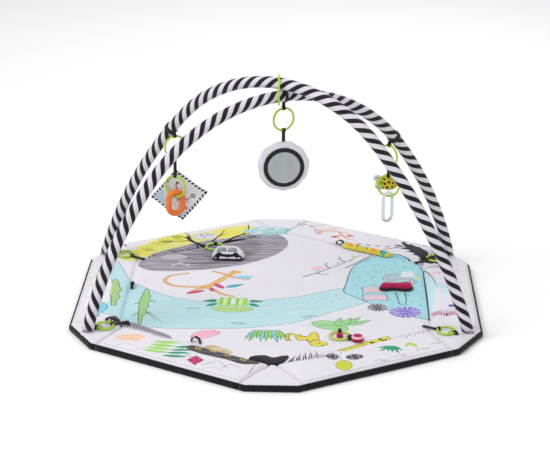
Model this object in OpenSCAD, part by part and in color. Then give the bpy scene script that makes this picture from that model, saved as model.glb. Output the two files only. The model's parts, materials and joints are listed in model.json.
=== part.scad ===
// Activity play gym: a hexagonal padded mat with six fold-up side walls, two crossed
// bow arches in striped sleeves, and toys on link rings. Millimetres, +Z up.
// The origin is on the floor, under the middle of the mat; the front corner points to -Y.

/* [Mat] */
// Width of the mat across two opposite sides, with the walls folded down
mat_w = 950; // [880:10:1040]
// Width of each fold-up side wall
wall_w = 117; // [105:1:130]
// Thickness of the mat, the walls and the corner tabs
mat_t = 20; // [18:1:26]
// Height of the black edge band
band_h = 14; // [9:1:16]
// Distance from a pad corner to the end of a wall's crease
wall_inset = 9.2; // [8:0.2:14]
// How far a wall narrows towards its outer edge, at each end
wall_taper = 7; // [6.5:0.5:9]

/* [Arches] */
// Outside diameter of the padded sleeves
sleeve_d = 28; // [26:0.5:29]
// Outside diameter of the pole segments
pole_d = 8; // [6:0.5:9]
// Half span of the upper arch, where its sleeve meets the mat
upper_span = 494; // [490:1:495]
// Half span of the lower arch
lower_span = 495; // [491:1:496]
// Heading of the upper arch's plane, in degrees from +X
upper_heading = -27.4; // [-30:0.1:-27]
// Heading of the lower arch's plane, in degrees from +X
lower_heading = 30.8; // [29:0.1:31]
// How far the upper arch's feet lean in, in degrees
upper_lean = 18.5; // [18:0.5:19]
// How far the lower arch's feet lean in, in degrees
lower_lean = 15; // [14.5:0.5:15.5]

/* [Toys] */
// Outside diameter of the link rings
link_d = 58; // [52:1:60]
// Thickness of a link ring's bar
link_bar = 5; // [4:0.5:5]
// Width of the black webbing straps
strap_w = 8; // [6:0.5:9]
// Diameter of the round mirror cushion
mirror_cushion_d = 122; // [110:1:130]
// Side of the square crinkle cloth
cloth_side = 100; // [90:1:110]
// Outside diameter of the rings that lie on the mat
flat_ring_d = 50; // [44:1:50]
// Outside diameter of the retainer rings beside the arches' feet
retainer_d = 46; // [42:1:47]

/* [Hidden] */
$fn = 64;

gap = 0.4;             // running gap between pieces that move past each other
fabric_t = 2;          // thickness of a quilted cover or of the backing
band_t = 2.5;          // thickness of the edge band's upright side
web_t = 1.2;           // thickness of one layer of webbing

// Mat outline
pad_apothem = mat_w / 2 - wall_w;
pad_r = pad_apothem / cos(30);
crease_l = pad_r - 2 * wall_inset;
SIDES = [-120, -60, 0, 60, 120, 180];      // headings of the walls' outer edges
CORNERS = [-90, -30, 30, 90, 150, 210];    // headings of the pad's corners
ARCH_CORNERS = [-30, 30, 150, 210];        // the corners that carry the arches' feet

// Arch geometry: on each side a wide shoulder arc runs from the foot to the top arc
foot_z = mat_t + 7;                        // where a sleeve ends
upper_shoulder_r = 1100;
upper_split = 43;                          // slope where the top arc begins, in degrees
lower_shoulder_r = 870;
lower_split = 39;
// An arch is [half span, lean, shoulder radius, split angle]
UPPER = [upper_span, upper_lean, upper_shoulder_r, upper_split];
LOWER = [lower_span, lower_lean, lower_shoulder_r, lower_split];
function shoulder_c(a) = [a[0] - a[2] * cos(a[1]), foot_z - a[2] * sin(a[1])];
function top_r(a) = a[2] + shoulder_c(a)[0] / cos(a[3]);
function top_c(a) = [0, shoulder_c(a)[1] - shoulder_c(a)[0] * tan(a[3])];
// The point of an arch's centreline whose radius points at angle t, from 0 at the foot's side
function arch_point(a, t) =
    t < a[3] ? shoulder_c(a) + a[2] * [cos(t), sin(t)] : top_c(a) + top_r(a) * [cos(t), sin(t)];
ferrule_l = 36;
ferrule_bore = pole_d + 1.2;
ferrule_d = ferrule_bore + 1.6;
sleeve_bore = ferrule_d + 1.2;
foot_ball_d = 18;
foot_ball_z = 14;
pocket_bore = foot_ball_d + 2;
pocket_d = 27;

// Hanging points on the sleeves, as [distance from the middle, height], and their slopes
left_t = 39.8;
right_t = 41.2;
centre_t = 88;
LEFT_HANG = [-arch_point(UPPER, left_t)[0], arch_point(UPPER, left_t)[1]];
RIGHT_HANG = [arch_point(LOWER, right_t)[0], arch_point(LOWER, right_t)[1]];
CENTRE_HANG = [arch_point(LOWER, centre_t)[0], arch_point(LOWER, centre_t)[1]];
left_slope = left_t - 90;
right_slope = 90 - right_t;
centre_slope = 90 - centre_t;
// A strap hangs from the lowest point of its band, which lies beside the sleeve's centre
band_r = sleeve_d / 2 + gap + web_t;
function band_out(slope) = -sin(slope) * (band_r - web_t / 2);
function heading(d, a) = [d * cos(a), d * sin(a)];
LEFT = heading(LEFT_HANG[0] + band_out(left_slope), upper_heading);
RIGHT = heading(RIGHT_HANG[0] + band_out(right_slope), lower_heading);
CENTRE = heading(CENTRE_HANG[0] + band_out(centre_slope), lower_heading);
eye_bore = link_bar + 2.4;                 // webbing eye round a link's bar
link_pitch = link_d - link_bar;            // between a link's top and bottom bars
link_play = 1.6;                           // between a ring's bar and the bar that hangs on it

left_link_z = 367;                         // the top bar of each link, and the toys' levels
left_link_yaw = 33;
left_ring_z = 265;
left_ring_yaw = -20;
teether_yaw = 26;
teether_bar = 14;
teether_w = 50;
teether_h = 68;
cloth_tilt = 7;
cloth_turn = 39;                           // how far the square is turned from upright

right_link_z = 341;
right_link_yaw = -46;
right_ring_z = 264;
right_ring_yaw = -14;
rattle_yaw = 38;
rattle_bar = 9;
rattle_w = 37;
rattle_h = 82;

mirror_link_z = 477;
mirror_link_yaw = 30;
mirror_yaw = 8;
mirror_cushion_t = 24;
mirror_z = mirror_link_z - link_pitch - 88;

// ---------- shared shapes ----------

module ring(d, bar) {
    rotate_extrude() translate([(d - bar) / 2, 0]) circle(d = bar);
}

// A ring that hangs from its top bar's centre, turned by yaw about the vertical
module hung_ring(d, bar, yaw) {
    rotate([0, 0, yaw]) translate([0, 0, -(d - bar) / 2]) rotate([90, 0, 0]) ring(d, bar);
}

// An oval ring that hangs from its top bar's centre: half rings joined by straight bars
module hung_oval(w, h, bar, yaw) {
    r = (w - bar) / 2;
    straight = h - w;
    rotate([0, 0, yaw]) translate([0, 0, -r]) rotate([90, 0, 0]) {
        rotate_extrude(angle = 180) translate([r, 0]) circle(d = bar);
        translate([0, -straight, 0])
            rotate([0, 0, 180]) rotate_extrude(angle = 180) translate([r, 0]) circle(d = bar);
        for (side = [-1, 1])
            translate([side * r, -straight, 0]) rotate([-90, 0, 0]) cylinder(d = bar, h = straight);
    }
}

// A round eye of webbing, with its axis level and turned by yaw
module eye(yaw, d, w = strap_w) {
    rotate([0, 0, yaw]) rotate([0, 90, 0]) cylinder(d = d, h = w, center = true);
}

// Two layers of webbing sewn together, with an eye round the bar above and the bar below
module eye_strap(length, yaw_top, yaw_low) {
    difference() {
        union() {
            eye(yaw_top, eye_bore + 2 * web_t);
            translate([0, 0, -length]) eye(yaw_low, eye_bore + 2 * web_t);
            rotate([0, 0, (yaw_top + yaw_low) / 2])
                translate([-strap_w / 2, -web_t, -length]) cube([strap_w, 2 * web_t, length]);
        }
        eye(yaw_top, eye_bore, 2 * strap_w);
        translate([0, 0, -length]) eye(yaw_low, eye_bore, 2 * strap_w);
    }
}

// ---------- mat ----------

module pad_shape(inset = 0) {
    intersection() {
        rotate([0, 0, 30]) circle(r = (pad_apothem - inset) / cos(30), $fn = 6);
        circle(r = (pad_r - wall_inset / 2 - inset) / cos(30), $fn = 6);
    }
}

// A side wall's outline: Y runs outward from the crease, which is on the X axis
module wall_shape(inset = 0) {
    half = crease_l / 2 - inset;
    polygon([
        [-half, gap + inset],
        [half, gap + inset],
        [half - wall_taper, wall_w - inset],
        [-half + wall_taper, wall_w - inset]
    ]);
}

// A corner tab's outline, in the frame of its corner: Y runs outward from the mat's middle
tab_in_y = pad_r - wall_inset / 2 + 0.6;
tab_out_y = pad_r + wall_w * cos(30);
tab_gap = 1.2;
tab_neck_w = 12;                           // the backing's neck between a tab and the pad
tab_neck_t = 1.5;
// A point by its place along a wall from the wall's middle, and its distance outward
function tab_point(along, out) =
    [out * sin(30) - along * cos(30), out * cos(30) + along * sin(30)];
module tab_shape(inset = 0) {
    neck = wall_inset * cos(30) - tab_gap - inset / 2;
    rim = pad_apothem + wall_w - inset;
    seam = tab_point(crease_l / 2 - wall_taper + tab_gap + inset, rim);
    front_y = tab_out_y - inset;
    front_x = (rim - front_y * cos(30)) / sin(30);
    polygon([
        [-neck, tab_in_y + inset],
        [neck, tab_in_y + inset],
        seam,
        [front_x, front_y],
        [-front_x, front_y],
        [-seam[0], seam[1]]
    ]);
}

module at_sides(i) {
    rotate([0, 0, SIDES[i] - 90]) translate([0, pad_apothem, 0]) children();
}

module at_corner(angle) {
    rotate([0, 0, angle - 90]) children();
}

// Where the arches' feet stand: one vertical pocket under the end of each sleeve
module at_feet() {
    for (turn = [0, 180]) {
        rotate([0, 0, upper_heading + turn])
            translate([upper_span + (foot_z - foot_ball_z) * tan(upper_lean), 0, 0]) children();
        rotate([0, 0, lower_heading + turn])
            translate([lower_span + (foot_z - foot_ball_z) * tan(lower_lean), 0, 0]) children();
    }
}

module pocket_holes(d) {
    at_feet() translate([0, 0, -1]) cylinder(d = d, h = mat_t + 10);
}

module mat_backing() {
    color("#1c1a20") {
        linear_extrude(fabric_t) pad_shape();
        difference() {
            union() {
                for (corner = CORNERS) at_corner(corner) {
                    linear_extrude(band_h) tab_shape();
                    translate([-tab_neck_w / 2, tab_in_y - 3, 0]) cube([tab_neck_w, 4, tab_neck_t]);
                }
            }
            for (corner = CORNERS) at_corner(corner)
                translate([0, 0, fabric_t]) linear_extrude(mat_t) tab_shape(band_t);
        }
    }
}

module floor_core() {
    color("#e8e2cf") translate([0, 0, fabric_t])
        linear_extrude(mat_t - 2 * fabric_t) pad_shape(fabric_t);
}

module floor_cover() {
    color("#f4f1f6") difference() {
        translate([0, 0, fabric_t]) linear_extrude(mat_t - fabric_t) pad_shape();
        linear_extrude(mat_t - fabric_t) pad_shape(fabric_t);
    }
}

module tab_cores() {
    color("#e8e2cf") difference() {
        for (corner = CORNERS) at_corner(corner)
            translate([0, 0, fabric_t]) linear_extrude(mat_t - 2 * fabric_t)
                tab_shape(band_t + fabric_t);
        pocket_holes(pocket_d);
    }
}

module tab_covers() {
    color("#f4f1f6") difference() {
        for (corner = CORNERS) at_corner(corner)
            translate([0, 0, fabric_t]) linear_extrude(mat_t - fabric_t) tab_shape(band_t);
        for (corner = CORNERS) at_corner(corner)
            linear_extrude(mat_t - fabric_t) tab_shape(band_t + fabric_t);
        pocket_holes(pocket_d);
    }
}

module pole_pockets() {
    color("#e6e3ea") at_feet() difference() {
        translate([0, 0, fabric_t]) cylinder(d = pocket_d, h = mat_t + 1 - fabric_t);
        translate([0, 0, foot_ball_z - foot_ball_d / 2 - gap])
            cylinder(d = pocket_bore, h = mat_t);
    }
}

module wall_cover(i) {
    color("#f4f1f6") at_sides(i) translate([0, 0, fabric_t])
        linear_extrude(mat_t - fabric_t) wall_shape(band_t);
}

module wall_backing(i) {
    color("#1c1a20") at_sides(i) difference() {
        linear_extrude(band_h) wall_shape();
        translate([0, 0, fabric_t]) linear_extrude(mat_t) wall_shape(band_t);
    }
}

// ---------- corner retainers and loops on the mat ----------

retainer_r = pad_r + 38;                   // from the middle to a retainer ring's centre
retainer_bar_r = (retainer_d - link_bar) / 2;
ring_lie = mat_t + 1 + link_bar / 2;       // height of a ring that lies on the mat

// A strap sewn down on the mat, running along +Y to an eye round the bar of a ring that lies flat
module sewn_strap(length) {
    difference() {
        union() {
            translate([-strap_w / 2, -length, mat_t]) cube([strap_w, length, 2 * web_t]);
            translate([0, 0, ring_lie]) eye(0, eye_bore + 2 * web_t);
        }
        translate([0, 0, ring_lie]) eye(0, eye_bore, 2 * strap_w);
        translate([-strap_w, -strap_w, 0]) cube([2 * strap_w, 2 * strap_w, mat_t]);
    }
}

corner_strap_l = 40;
module corner_straps() {
    color("#1c1a20") for (corner = ARCH_CORNERS) at_corner(corner)
        translate([0, retainer_r - retainer_bar_r, 0]) sewn_strap(corner_strap_l);
}

// An open link with a gate bar across it
module retainer_rings() {
    gate_x = retainer_d / 5;
    gate_l = 2 * sqrt(pow(retainer_bar_r, 2) - pow(gate_x, 2));
    color("#a6d608") for (corner = ARCH_CORNERS) at_corner(corner)
        translate([0, retainer_r, ring_lie]) {
            ring(retainer_d, link_bar);
            translate([0, gate_x, 0]) rotate([0, 90, 0])
                cylinder(d = link_bar * 0.7, h = gate_l, center = true);
        }
}

// Webbing loops that tie the retainer rings to the pole pockets
module foot_loops() {
    color("#1c1a20") for (corner = ARCH_CORNERS) at_corner(corner)
        translate([0, retainer_r + retainer_bar_r, 0]) rotate([0, 0, 180]) sewn_strap(6);
}

// Standing loops of webbing on three creases, for hanging more toys
loop_h = 14;
loop_w = 26;
module crease_loop(i, along) {
    at_sides(i) translate([along, -7, mat_t]) difference() {
        translate([-loop_w / 2, -4, 0]) cube([loop_w, 8, loop_h]);
        translate([-loop_w, 0, loop_h / 2 - 0.6]) rotate([0, 90, 0])
            cylinder(d = 5.4, h = 2 * loop_w);
    }
}

strip_loop_x = -25;
module crease_loops() {
    color("#1c1a20") {
        crease_loop(5, 16);
        crease_loop(0, 0);
        crease_loop(3, strip_loop_x);
    }
}

// Loops sewn to the mat, which hold the rings of two loose toys
module toy_loops() {
    color("#1c1a20") {
        translate([CAR_LOOP[0], CAR_LOOP[1], 0]) rotate([0, 0, 180]) sewn_strap(10);
        translate([DISC_LOOP[0], DISC_LOOP[1], 0]) rotate([0, 0, 180]) sewn_strap(20);
    }
}

// ---------- arches ----------

// Part of a ring in the XZ plane, between two slopes; with a bore it is a tube
module arc_bar(r, from, to, d, bore = 0) {
    rotate([90, 0, 0]) rotate([0, 0, from]) rotate_extrude(angle = to - from)
        translate([r, 0]) difference() {
            circle(d = d);
            if (bore > 0) circle(d = bore);
        }
}

// The three arcs of a bow, parted by a slit at each end of the top arc
module bow(a, d, bore = 0) {
    slit = 0.04;
    for (side = [0, 1]) mirror([side, 0, 0])
        translate([shoulder_c(a)[0], 0, shoulder_c(a)[1]])
            arc_bar(a[2], a[1], a[3] - slit, d, bore);
    translate([0, 0, top_c(a)[1]])
        arc_bar(top_r(a), a[3] + slit, 180 - a[3] - slit, d, bore);
}

// A sleeve is sewn from three lengths, which meet over the ferrules
module sleeve(a) {
    bow(a, sleeve_d, sleeve_bore);
}

// Three pole segments that meet inside the ferrules
module poles(a) {
    bow(a, pole_d);
}

module ferrules(a) {
    for (side = [0, 1]) mirror([side, 0, 0])
        translate([arch_point(a, a[3])[0], 0, arch_point(a, a[3])[1]])
            rotate([0, -a[3], 0]) difference() {
                cylinder(d = ferrule_d, h = ferrule_l, center = true);
                cylinder(d = ferrule_bore, h = 2 * ferrule_l, center = true);
            }
}

// Feet: a stem on the end of each pole, with a ball that stands in the pocket
module feet(a) {
    reach = a[0] + (foot_z - foot_ball_z) * tan(a[1]);
    for (side = [0, 1]) mirror([side, 0, 0]) {
        translate([reach, 0, foot_ball_z]) sphere(d = foot_ball_d);
        translate([a[0], 0, foot_z]) rotate([0, 180 - a[1], 0])
            cylinder(d = pole_d, h = (foot_z - foot_ball_z) / cos(a[1]));
    }
}

module upper_frame() { rotate([0, 0, upper_heading]) children(); }
module lower_frame() { rotate([0, 0, lower_heading]) children(); }

module upper_sleeve() { color("#3a3540") upper_frame() sleeve(UPPER); }
module upper_poles() { color("#8f969c") upper_frame() poles(UPPER); }
module upper_ferrules() { color("#c9ccd0") upper_frame() ferrules(UPPER); }
module upper_feet() { color("#2b2b2e") upper_frame() feet(UPPER); }
module lower_sleeve() { color("#3a3540") lower_frame() sleeve(LOWER); }
module lower_poles() { color("#8f969c") lower_frame() poles(LOWER); }
module lower_ferrules() { color("#c9ccd0") lower_frame() ferrules(LOWER); }
module lower_feet() { color("#2b2b2e") lower_frame() feet(LOWER); }

// A webbing band round a sleeve, with an eye for a link's top bar under it
module arch_strap(hang, slope, eye_z, frame_heading, eye_yaw, band_w) {
    drop = hang[1] - eye_z;
    out = band_out(slope);
    band_low = cos(slope) * (sleeve_d / 2 + gap);
    rotate([0, 0, frame_heading]) translate([hang[0], 0, hang[1]]) difference() {
        union() {
            rotate([0, 90 + slope, 0]) cylinder(r = band_r, h = band_w, center = true);
            translate([out - strap_w / 2, -web_t, -drop])
                cube([strap_w, 2 * web_t, drop - band_low]);
            translate([out, 0, -drop]) eye(eye_yaw - frame_heading, eye_bore + 2 * web_t);
        }
        rotate([0, 90 + slope, 0])
            cylinder(d = sleeve_d + 2 * gap, h = 4 * band_w, center = true);
        translate([out, 0, -drop]) eye(eye_yaw - frame_heading, eye_bore, 2 * strap_w);
    }
}

crossing_z = (arch_point(UPPER, 90)[1] + arch_point(LOWER, 90)[1]) / 2;
crossing_bore = arch_point(UPPER, 90)[1] - arch_point(LOWER, 90)[1] + sleeve_d + 3.2;
module crossing_ring() {
    color("#a6d608") translate([1.5, 0, crossing_z]) rotate([0, 90, 0])
        ring(crossing_bore + 2 * link_bar, link_bar);
}

module crossing_strap() {
    color("#1c1a20")
        arch_strap(CENTRE_HANG, centre_slope, mirror_link_z, lower_heading, mirror_link_yaw, 8);
}

module left_arch_strap() {
    color("#1c1a20")
        arch_strap(LEFT_HANG, left_slope, left_link_z, upper_heading, left_link_yaw, 12);
}

module right_arch_strap() {
    color("#1c1a20")
        arch_strap(RIGHT_HANG, right_slope, right_link_z, lower_heading, right_link_yaw, 12);
}

// ---------- mirror toy ----------

module at_centre(z) { translate([CENTRE[0], CENTRE[1], z]) children(); }
mirror_strap_l = mirror_link_z - link_pitch - mirror_z - mirror_cushion_d / 2 + 1;

module mirror_link() {
    color("#a6d608") at_centre(mirror_link_z) hung_ring(link_d, link_bar, mirror_link_yaw);
}

module mirror_strap() {
    color("#1c1a20") at_centre(mirror_link_z - link_pitch) rotate([0, 0, mirror_link_yaw])
        difference() {
            union() {
                eye(0, eye_bore + 2 * web_t);
                translate([-strap_w / 2, -web_t, -mirror_strap_l])
                    cube([strap_w, 2 * web_t, mirror_strap_l]);
            }
            eye(0, eye_bore, 2 * strap_w);
            rotate([0, 0, mirror_yaw - mirror_link_yaw])
                translate([0, 0, mirror_z - mirror_link_z + link_pitch]) rotate([90, 0, 0])
                    cylinder(d = mirror_cushion_d + 0.1, h = 2 * mirror_cushion_t, center = true);
        }
}

module mirror_frame() {
    at_centre(mirror_z) rotate([0, 0, mirror_yaw]) rotate([90, 0, 0]) children();
}

bezel_d = 94;
bezel_t = 4;
glass_d = 77;
glass_t = 2;
module mirror_cushion() {
    edge = mirror_cushion_t / 2;
    color("#f4f1f6") mirror_frame() rotate_extrude() {
        translate([0, -edge]) square([mirror_cushion_d / 2 - edge, mirror_cushion_t]);
        intersection() {
            translate([mirror_cushion_d / 2 - edge, 0]) circle(r = edge);
            translate([0, -edge]) square([mirror_cushion_d, mirror_cushion_t]);
        }
    }
}

module mirror_bezel() {
    color("#1f1d22") mirror_frame() translate([0, 0, mirror_cushion_t / 2]) difference() {
        cylinder(d = bezel_d, h = bezel_t);
        translate([0, 0, -1]) cylinder(d = glass_d, h = bezel_t + 2);
    }
}

module mirror_face() {
    color("#b9c2c6") mirror_frame() translate([0, 0, mirror_cushion_t / 2])
        cylinder(d = glass_d, h = glass_t);
}

// ---------- left toy ----------

module at_left(z) { translate([LEFT[0], LEFT[1], z]) children(); }
left_strap_l = left_link_z - link_pitch - left_ring_z;

module left_link() {
    color("#a6d608") at_left(left_link_z) hung_ring(link_d, link_bar, left_link_yaw);
}

module left_strap() {
    color("#1c1a20") at_left(left_link_z - link_pitch)
        eye_strap(left_strap_l, left_link_yaw, left_ring_yaw);
}

module left_ring() {
    color("#a6d608") at_left(left_ring_z) hung_ring(link_d, link_bar, left_ring_yaw);
}

// The teether hangs round the ring's bottom bar, so its own top bar is above that
module teether() {
    color("#f5751a") at_left(left_ring_z - link_pitch + (link_bar + teether_bar) / 2 + link_play)
        hung_oval(teether_w, teether_h, teether_bar, teether_yaw);
}

cloth_t = 3;
cloth_pivot_z = left_ring_z + 14;
cloth_off = web_t + cloth_t / 2 + 7.3;
module crinkle_cloth() {
    color("#dcd7e6") translate([LEFT[0], LEFT[1] + cloth_off, cloth_pivot_z])
        rotate([cloth_tilt, 0, 0]) rotate([0, cloth_turn, 0])
            translate([0, -cloth_t / 2, -cloth_side]) cube([cloth_side, cloth_t, cloth_side]);
}

// ---------- right toy ----------

module at_right(z) { translate([RIGHT[0], RIGHT[1], z]) children(); }
right_strap_l = right_link_z - link_pitch - right_ring_z;

module right_link() {
    color("#a6d608") at_right(right_link_z) hung_ring(link_d, link_bar, right_link_yaw);
}

module right_strap() {
    color("#1c1a20") at_right(right_link_z - link_pitch)
        eye_strap(right_strap_l, right_link_yaw, right_ring_yaw);
}

module right_ring() {
    color("#a6d608") at_right(right_ring_z) hung_ring(link_d, link_bar, right_ring_yaw);
}

plush_w = 62;
plush_h = 44;
plush_t = 8;
plush_off = 15;
module spotted_plush() {
    color("#e7c64a") translate([RIGHT[0] - 6, RIGHT[1] + plush_off, right_ring_z - 22])
        rotate([90, 0, 0]) translate([0, 0, -plush_t / 2]) {
            translate([-(plush_w - plush_h) / 2, 0, 0]) cylinder(d = plush_h, h = plush_t);
            translate([(plush_w - plush_h) / 2, 0, 0]) cylinder(d = plush_h, h = plush_t);
            translate([-(plush_w - plush_h) / 2, -plush_h / 2, 0])
                cube([plush_w - plush_h, plush_h, plush_t]);
        }
}

rattle_z = right_ring_z - link_pitch + (link_bar + rattle_bar) / 2 + link_play;
rattle_wall = 1.5;
rattle_bore = rattle_bar - 2 * rattle_wall;
bead_d = rattle_bore - 2 * gap;
module rattle_ring() {
    color("#dfe8ea", 0.5) at_right(rattle_z) difference() {
        hung_oval(rattle_w, rattle_h, rattle_bar, rattle_yaw);
        hung_oval(rattle_w - 2 * rattle_wall, rattle_h - 2 * rattle_wall, rattle_bore, rattle_yaw);
    }
}

// Loose beads that lie in the bottom of the hollow rattle ring
module rattle_beads() {
    bend = (rattle_w - rattle_bar) / 2;
    color("#d81b6a") at_right(rattle_z - bend - (rattle_h - rattle_w)) rotate([0, 0, rattle_yaw])
        for (angle = [-48, -24, 0, 24, 48])
            rotate([0, angle, 0]) translate([0, 0, -bend]) sphere(d = bead_d);
}

// ---------- toys that lie on the mat ----------

// Each of these rings turns in a loop sewn to the mat, and a strap goes round its bar
flat_bar_r = (flat_ring_d - link_bar) / 2;
lie_z = mat_t + gap;
module on_flat_ring(loop, angle = 0, r = 0) {
    translate([loop[0], loop[1] - flat_bar_r, ring_lie]) rotate([0, 0, angle]) translate([r, 0, 0])
        children();
}

// A wide strap that runs outward along +X from its eye round a ring's bar. The eye is cut
// away wherever it would press into the mat, at rest or with the strap lifted by this angle
module toy_tag(length, w, t, lift = 0) {
    difference() {
        union() {
            eye(90, eye_bore + 2 * web_t, 12);
            translate([0, -w / 2, lie_z - ring_lie]) cube([length, w, t]);
        }
        eye(90, eye_bore, 2 * w);
        for (angle = [0, lift]) rotate([0, angle, 0])
            translate([-mat_t, -w, lie_z - ring_lie - mat_t]) cube([2 * mat_t, 2 * w, mat_t]);
    }
}

// Soft car that hangs on a link ring by a pink tag
CAR_LOOP = [-166, 306];
car_w = 82;
car_l = 52;
car_t = 28;
car_y = CAR_LOOP[1] - 62 - car_l;
module car_toy_ring() {
    color("#a6d608") on_flat_ring(CAR_LOOP) ring(flat_ring_d, link_bar);
}

module car_toy_cushion() {
    color("#dedbe2") translate([CAR_LOOP[0] - 4, car_y, lie_z]) cube([car_w, car_l, car_t]);
}

module car_toy_tag() {
    color("#ef6f8e") difference() {
        on_flat_ring(CAR_LOOP, -45, flat_bar_r) toy_tag(42, 18, 6, 20);
        translate([CAR_LOOP[0] - 4, car_y, lie_z - 1]) cube([car_w, car_l, car_t + 2]);
    }
}

// Soft wing: a magenta cushion on a black base, sewn to the mat by its rear edge
WING = [288, 28];
wing_w = 88;
wing_l = 40;
module wing_outline(inset = 0) {
    end_r = wing_l / 2 - inset;
    translate([-(wing_w - wing_l) / 2, 0]) circle(r = end_r);
    translate([(wing_w - wing_l) / 2, 4]) circle(r = end_r - 4);
    polygon([
        [-(wing_w - wing_l) / 2, -end_r],
        [(wing_w - wing_l) / 2, -end_r + 8],
        [(wing_w - wing_l) / 2, end_r],
        [-(wing_w - wing_l) / 2, end_r]
    ]);
}

wing_base_t = 4;
wing_t = 11;
module wing_base() {
    color("#241a24") translate([WING[0], WING[1], lie_z]) linear_extrude(wing_base_t) wing_outline();
}

module wing_cushion() {
    color("#c01a5b") translate([WING[0], WING[1], lie_z + wing_base_t])
        linear_extrude(wing_t) wing_outline(1.5);
}

// Link ring with a small disc inside it, and a strap with a ribbed disc outside it
DISC_LOOP = [148, -240];
disc_turn = -55;
disc_d = 28;
disc_t = 12;
disc_strap_w = 20;
disc_strap_l = 32;
module disc_toy_ring() {
    color("#bfd21f") on_flat_ring(DISC_LOOP) ring(flat_ring_d, link_bar);
}

module disc_toy_straps() {
    color("#1c1a20") on_flat_ring(DISC_LOOP, disc_turn, flat_bar_r)
        toy_tag(disc_strap_l, disc_strap_w, 10);
}

module disc_toy_discs() {
    color("#d11860") on_flat_ring(DISC_LOOP, disc_turn, flat_bar_r)
        translate([0, 0, lie_z - ring_lie]) {
            translate([-12.5, 0, 0]) cylinder(d = 15, h = 9);
            difference() {
                translate([14, disc_strap_w / 2 + disc_d / 2 - 1, 0]) cylinder(d = disc_d, h = disc_t);
                translate([0, -disc_strap_w / 2, -1]) cube([disc_strap_l, disc_strap_w, 2 * disc_t]);
            }
        }
}

// Padded spotted strip, sewn along the rear right crease beside its loop
strip_l = 132;
strip_w = 18;
strip_t = 12;
module spotted_strip() {
    color("#d9cf3f") at_sides(3) translate([strip_loop_x + loop_w / 2 + gap, -strip_w - 3, mat_t])
        cube([strip_l, strip_w, strip_t]);
}

floor_cover();
floor_core();
mat_backing();
tab_covers();
tab_cores();
pole_pockets();
corner_straps();
retainer_rings();
foot_loops();
crease_loops();
toy_loops();
wall_cover(0);  // wall_front_left_cover
wall_cover(1);  // wall_front_right_cover
wall_cover(2);  // wall_right_cover
wall_cover(3);  // wall_rear_right_cover
wall_cover(4);  // wall_rear_left_cover
wall_cover(5);  // wall_left_cover
wall_backing(0);  // wall_front_left_backing
wall_backing(1);  // wall_front_right_backing
wall_backing(2);  // wall_right_backing
wall_backing(3);  // wall_rear_right_backing
wall_backing(4);  // wall_rear_left_backing
wall_backing(5);  // wall_left_backing
upper_sleeve();
upper_poles();
upper_ferrules();
upper_feet();
lower_sleeve();
lower_poles();
lower_ferrules();
lower_feet();
crossing_ring();
crossing_strap();
left_arch_strap();
right_arch_strap();
mirror_link();
mirror_strap();
mirror_cushion();
mirror_bezel();
mirror_face();
left_link();
left_strap();
left_ring();
teether();
crinkle_cloth();
right_link();
right_strap();
right_ring();
spotted_plush();
rattle_ring();
rattle_beads();
car_toy_ring();
car_toy_tag();
car_toy_cushion();
wing_cushion();
wing_base();
disc_toy_ring();
disc_toy_straps();
disc_toy_discs();
spotted_strip();
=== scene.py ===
import json
import math

import bmesh
import bpy
import numpy as np
from mathutils import Matrix, Vector, noise
from mathutils.geometry import delaunay_2d_cdt


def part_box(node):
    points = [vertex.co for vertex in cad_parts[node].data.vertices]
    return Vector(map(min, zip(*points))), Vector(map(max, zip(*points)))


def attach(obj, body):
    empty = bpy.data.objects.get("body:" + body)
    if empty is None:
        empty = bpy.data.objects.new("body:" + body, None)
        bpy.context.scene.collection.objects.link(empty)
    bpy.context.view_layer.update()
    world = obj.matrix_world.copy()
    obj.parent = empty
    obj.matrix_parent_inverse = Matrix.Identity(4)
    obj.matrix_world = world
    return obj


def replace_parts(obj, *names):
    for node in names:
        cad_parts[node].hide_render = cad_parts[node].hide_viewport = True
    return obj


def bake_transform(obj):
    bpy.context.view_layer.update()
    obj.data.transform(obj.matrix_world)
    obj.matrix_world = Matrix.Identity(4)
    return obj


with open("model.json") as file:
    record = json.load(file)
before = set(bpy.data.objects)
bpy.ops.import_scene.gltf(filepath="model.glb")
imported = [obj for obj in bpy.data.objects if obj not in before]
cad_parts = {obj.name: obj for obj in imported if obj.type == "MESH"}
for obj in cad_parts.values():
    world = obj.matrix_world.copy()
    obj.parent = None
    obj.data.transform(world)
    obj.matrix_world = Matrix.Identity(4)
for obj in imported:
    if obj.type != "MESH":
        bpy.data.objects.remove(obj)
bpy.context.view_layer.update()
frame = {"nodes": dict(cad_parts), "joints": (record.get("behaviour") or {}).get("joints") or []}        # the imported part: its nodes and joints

# Lengths in the drawing functions are millimetres, in the row frame. A mesh is made in metres.
MM = 0.001
WALLS = {"front_left": -120, "front_right": -60, "right": 0,
         "rear_right": 60, "rear_left": 120, "left": 180}
CORNERS = {"front": -90, "front_right": -30, "rear_right": 30,
           "rear": 90, "rear_left": 150, "front_left": 210}
ARCH_CORNERS = ("front_right", "rear_right", "rear_left", "front_left")

joints = {joint["name"]: joint for joint in frame["joints"]}


def box_mm(node):
    low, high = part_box(node)
    return np.array(low) / MM, np.array(high) / MM


def centre_mm(node):
    low, high = box_mm(node)
    return (low + high) / 2


def pivot_mm(joint):
    return np.array(joints[joint]["pos_m"]) / MM


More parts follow.
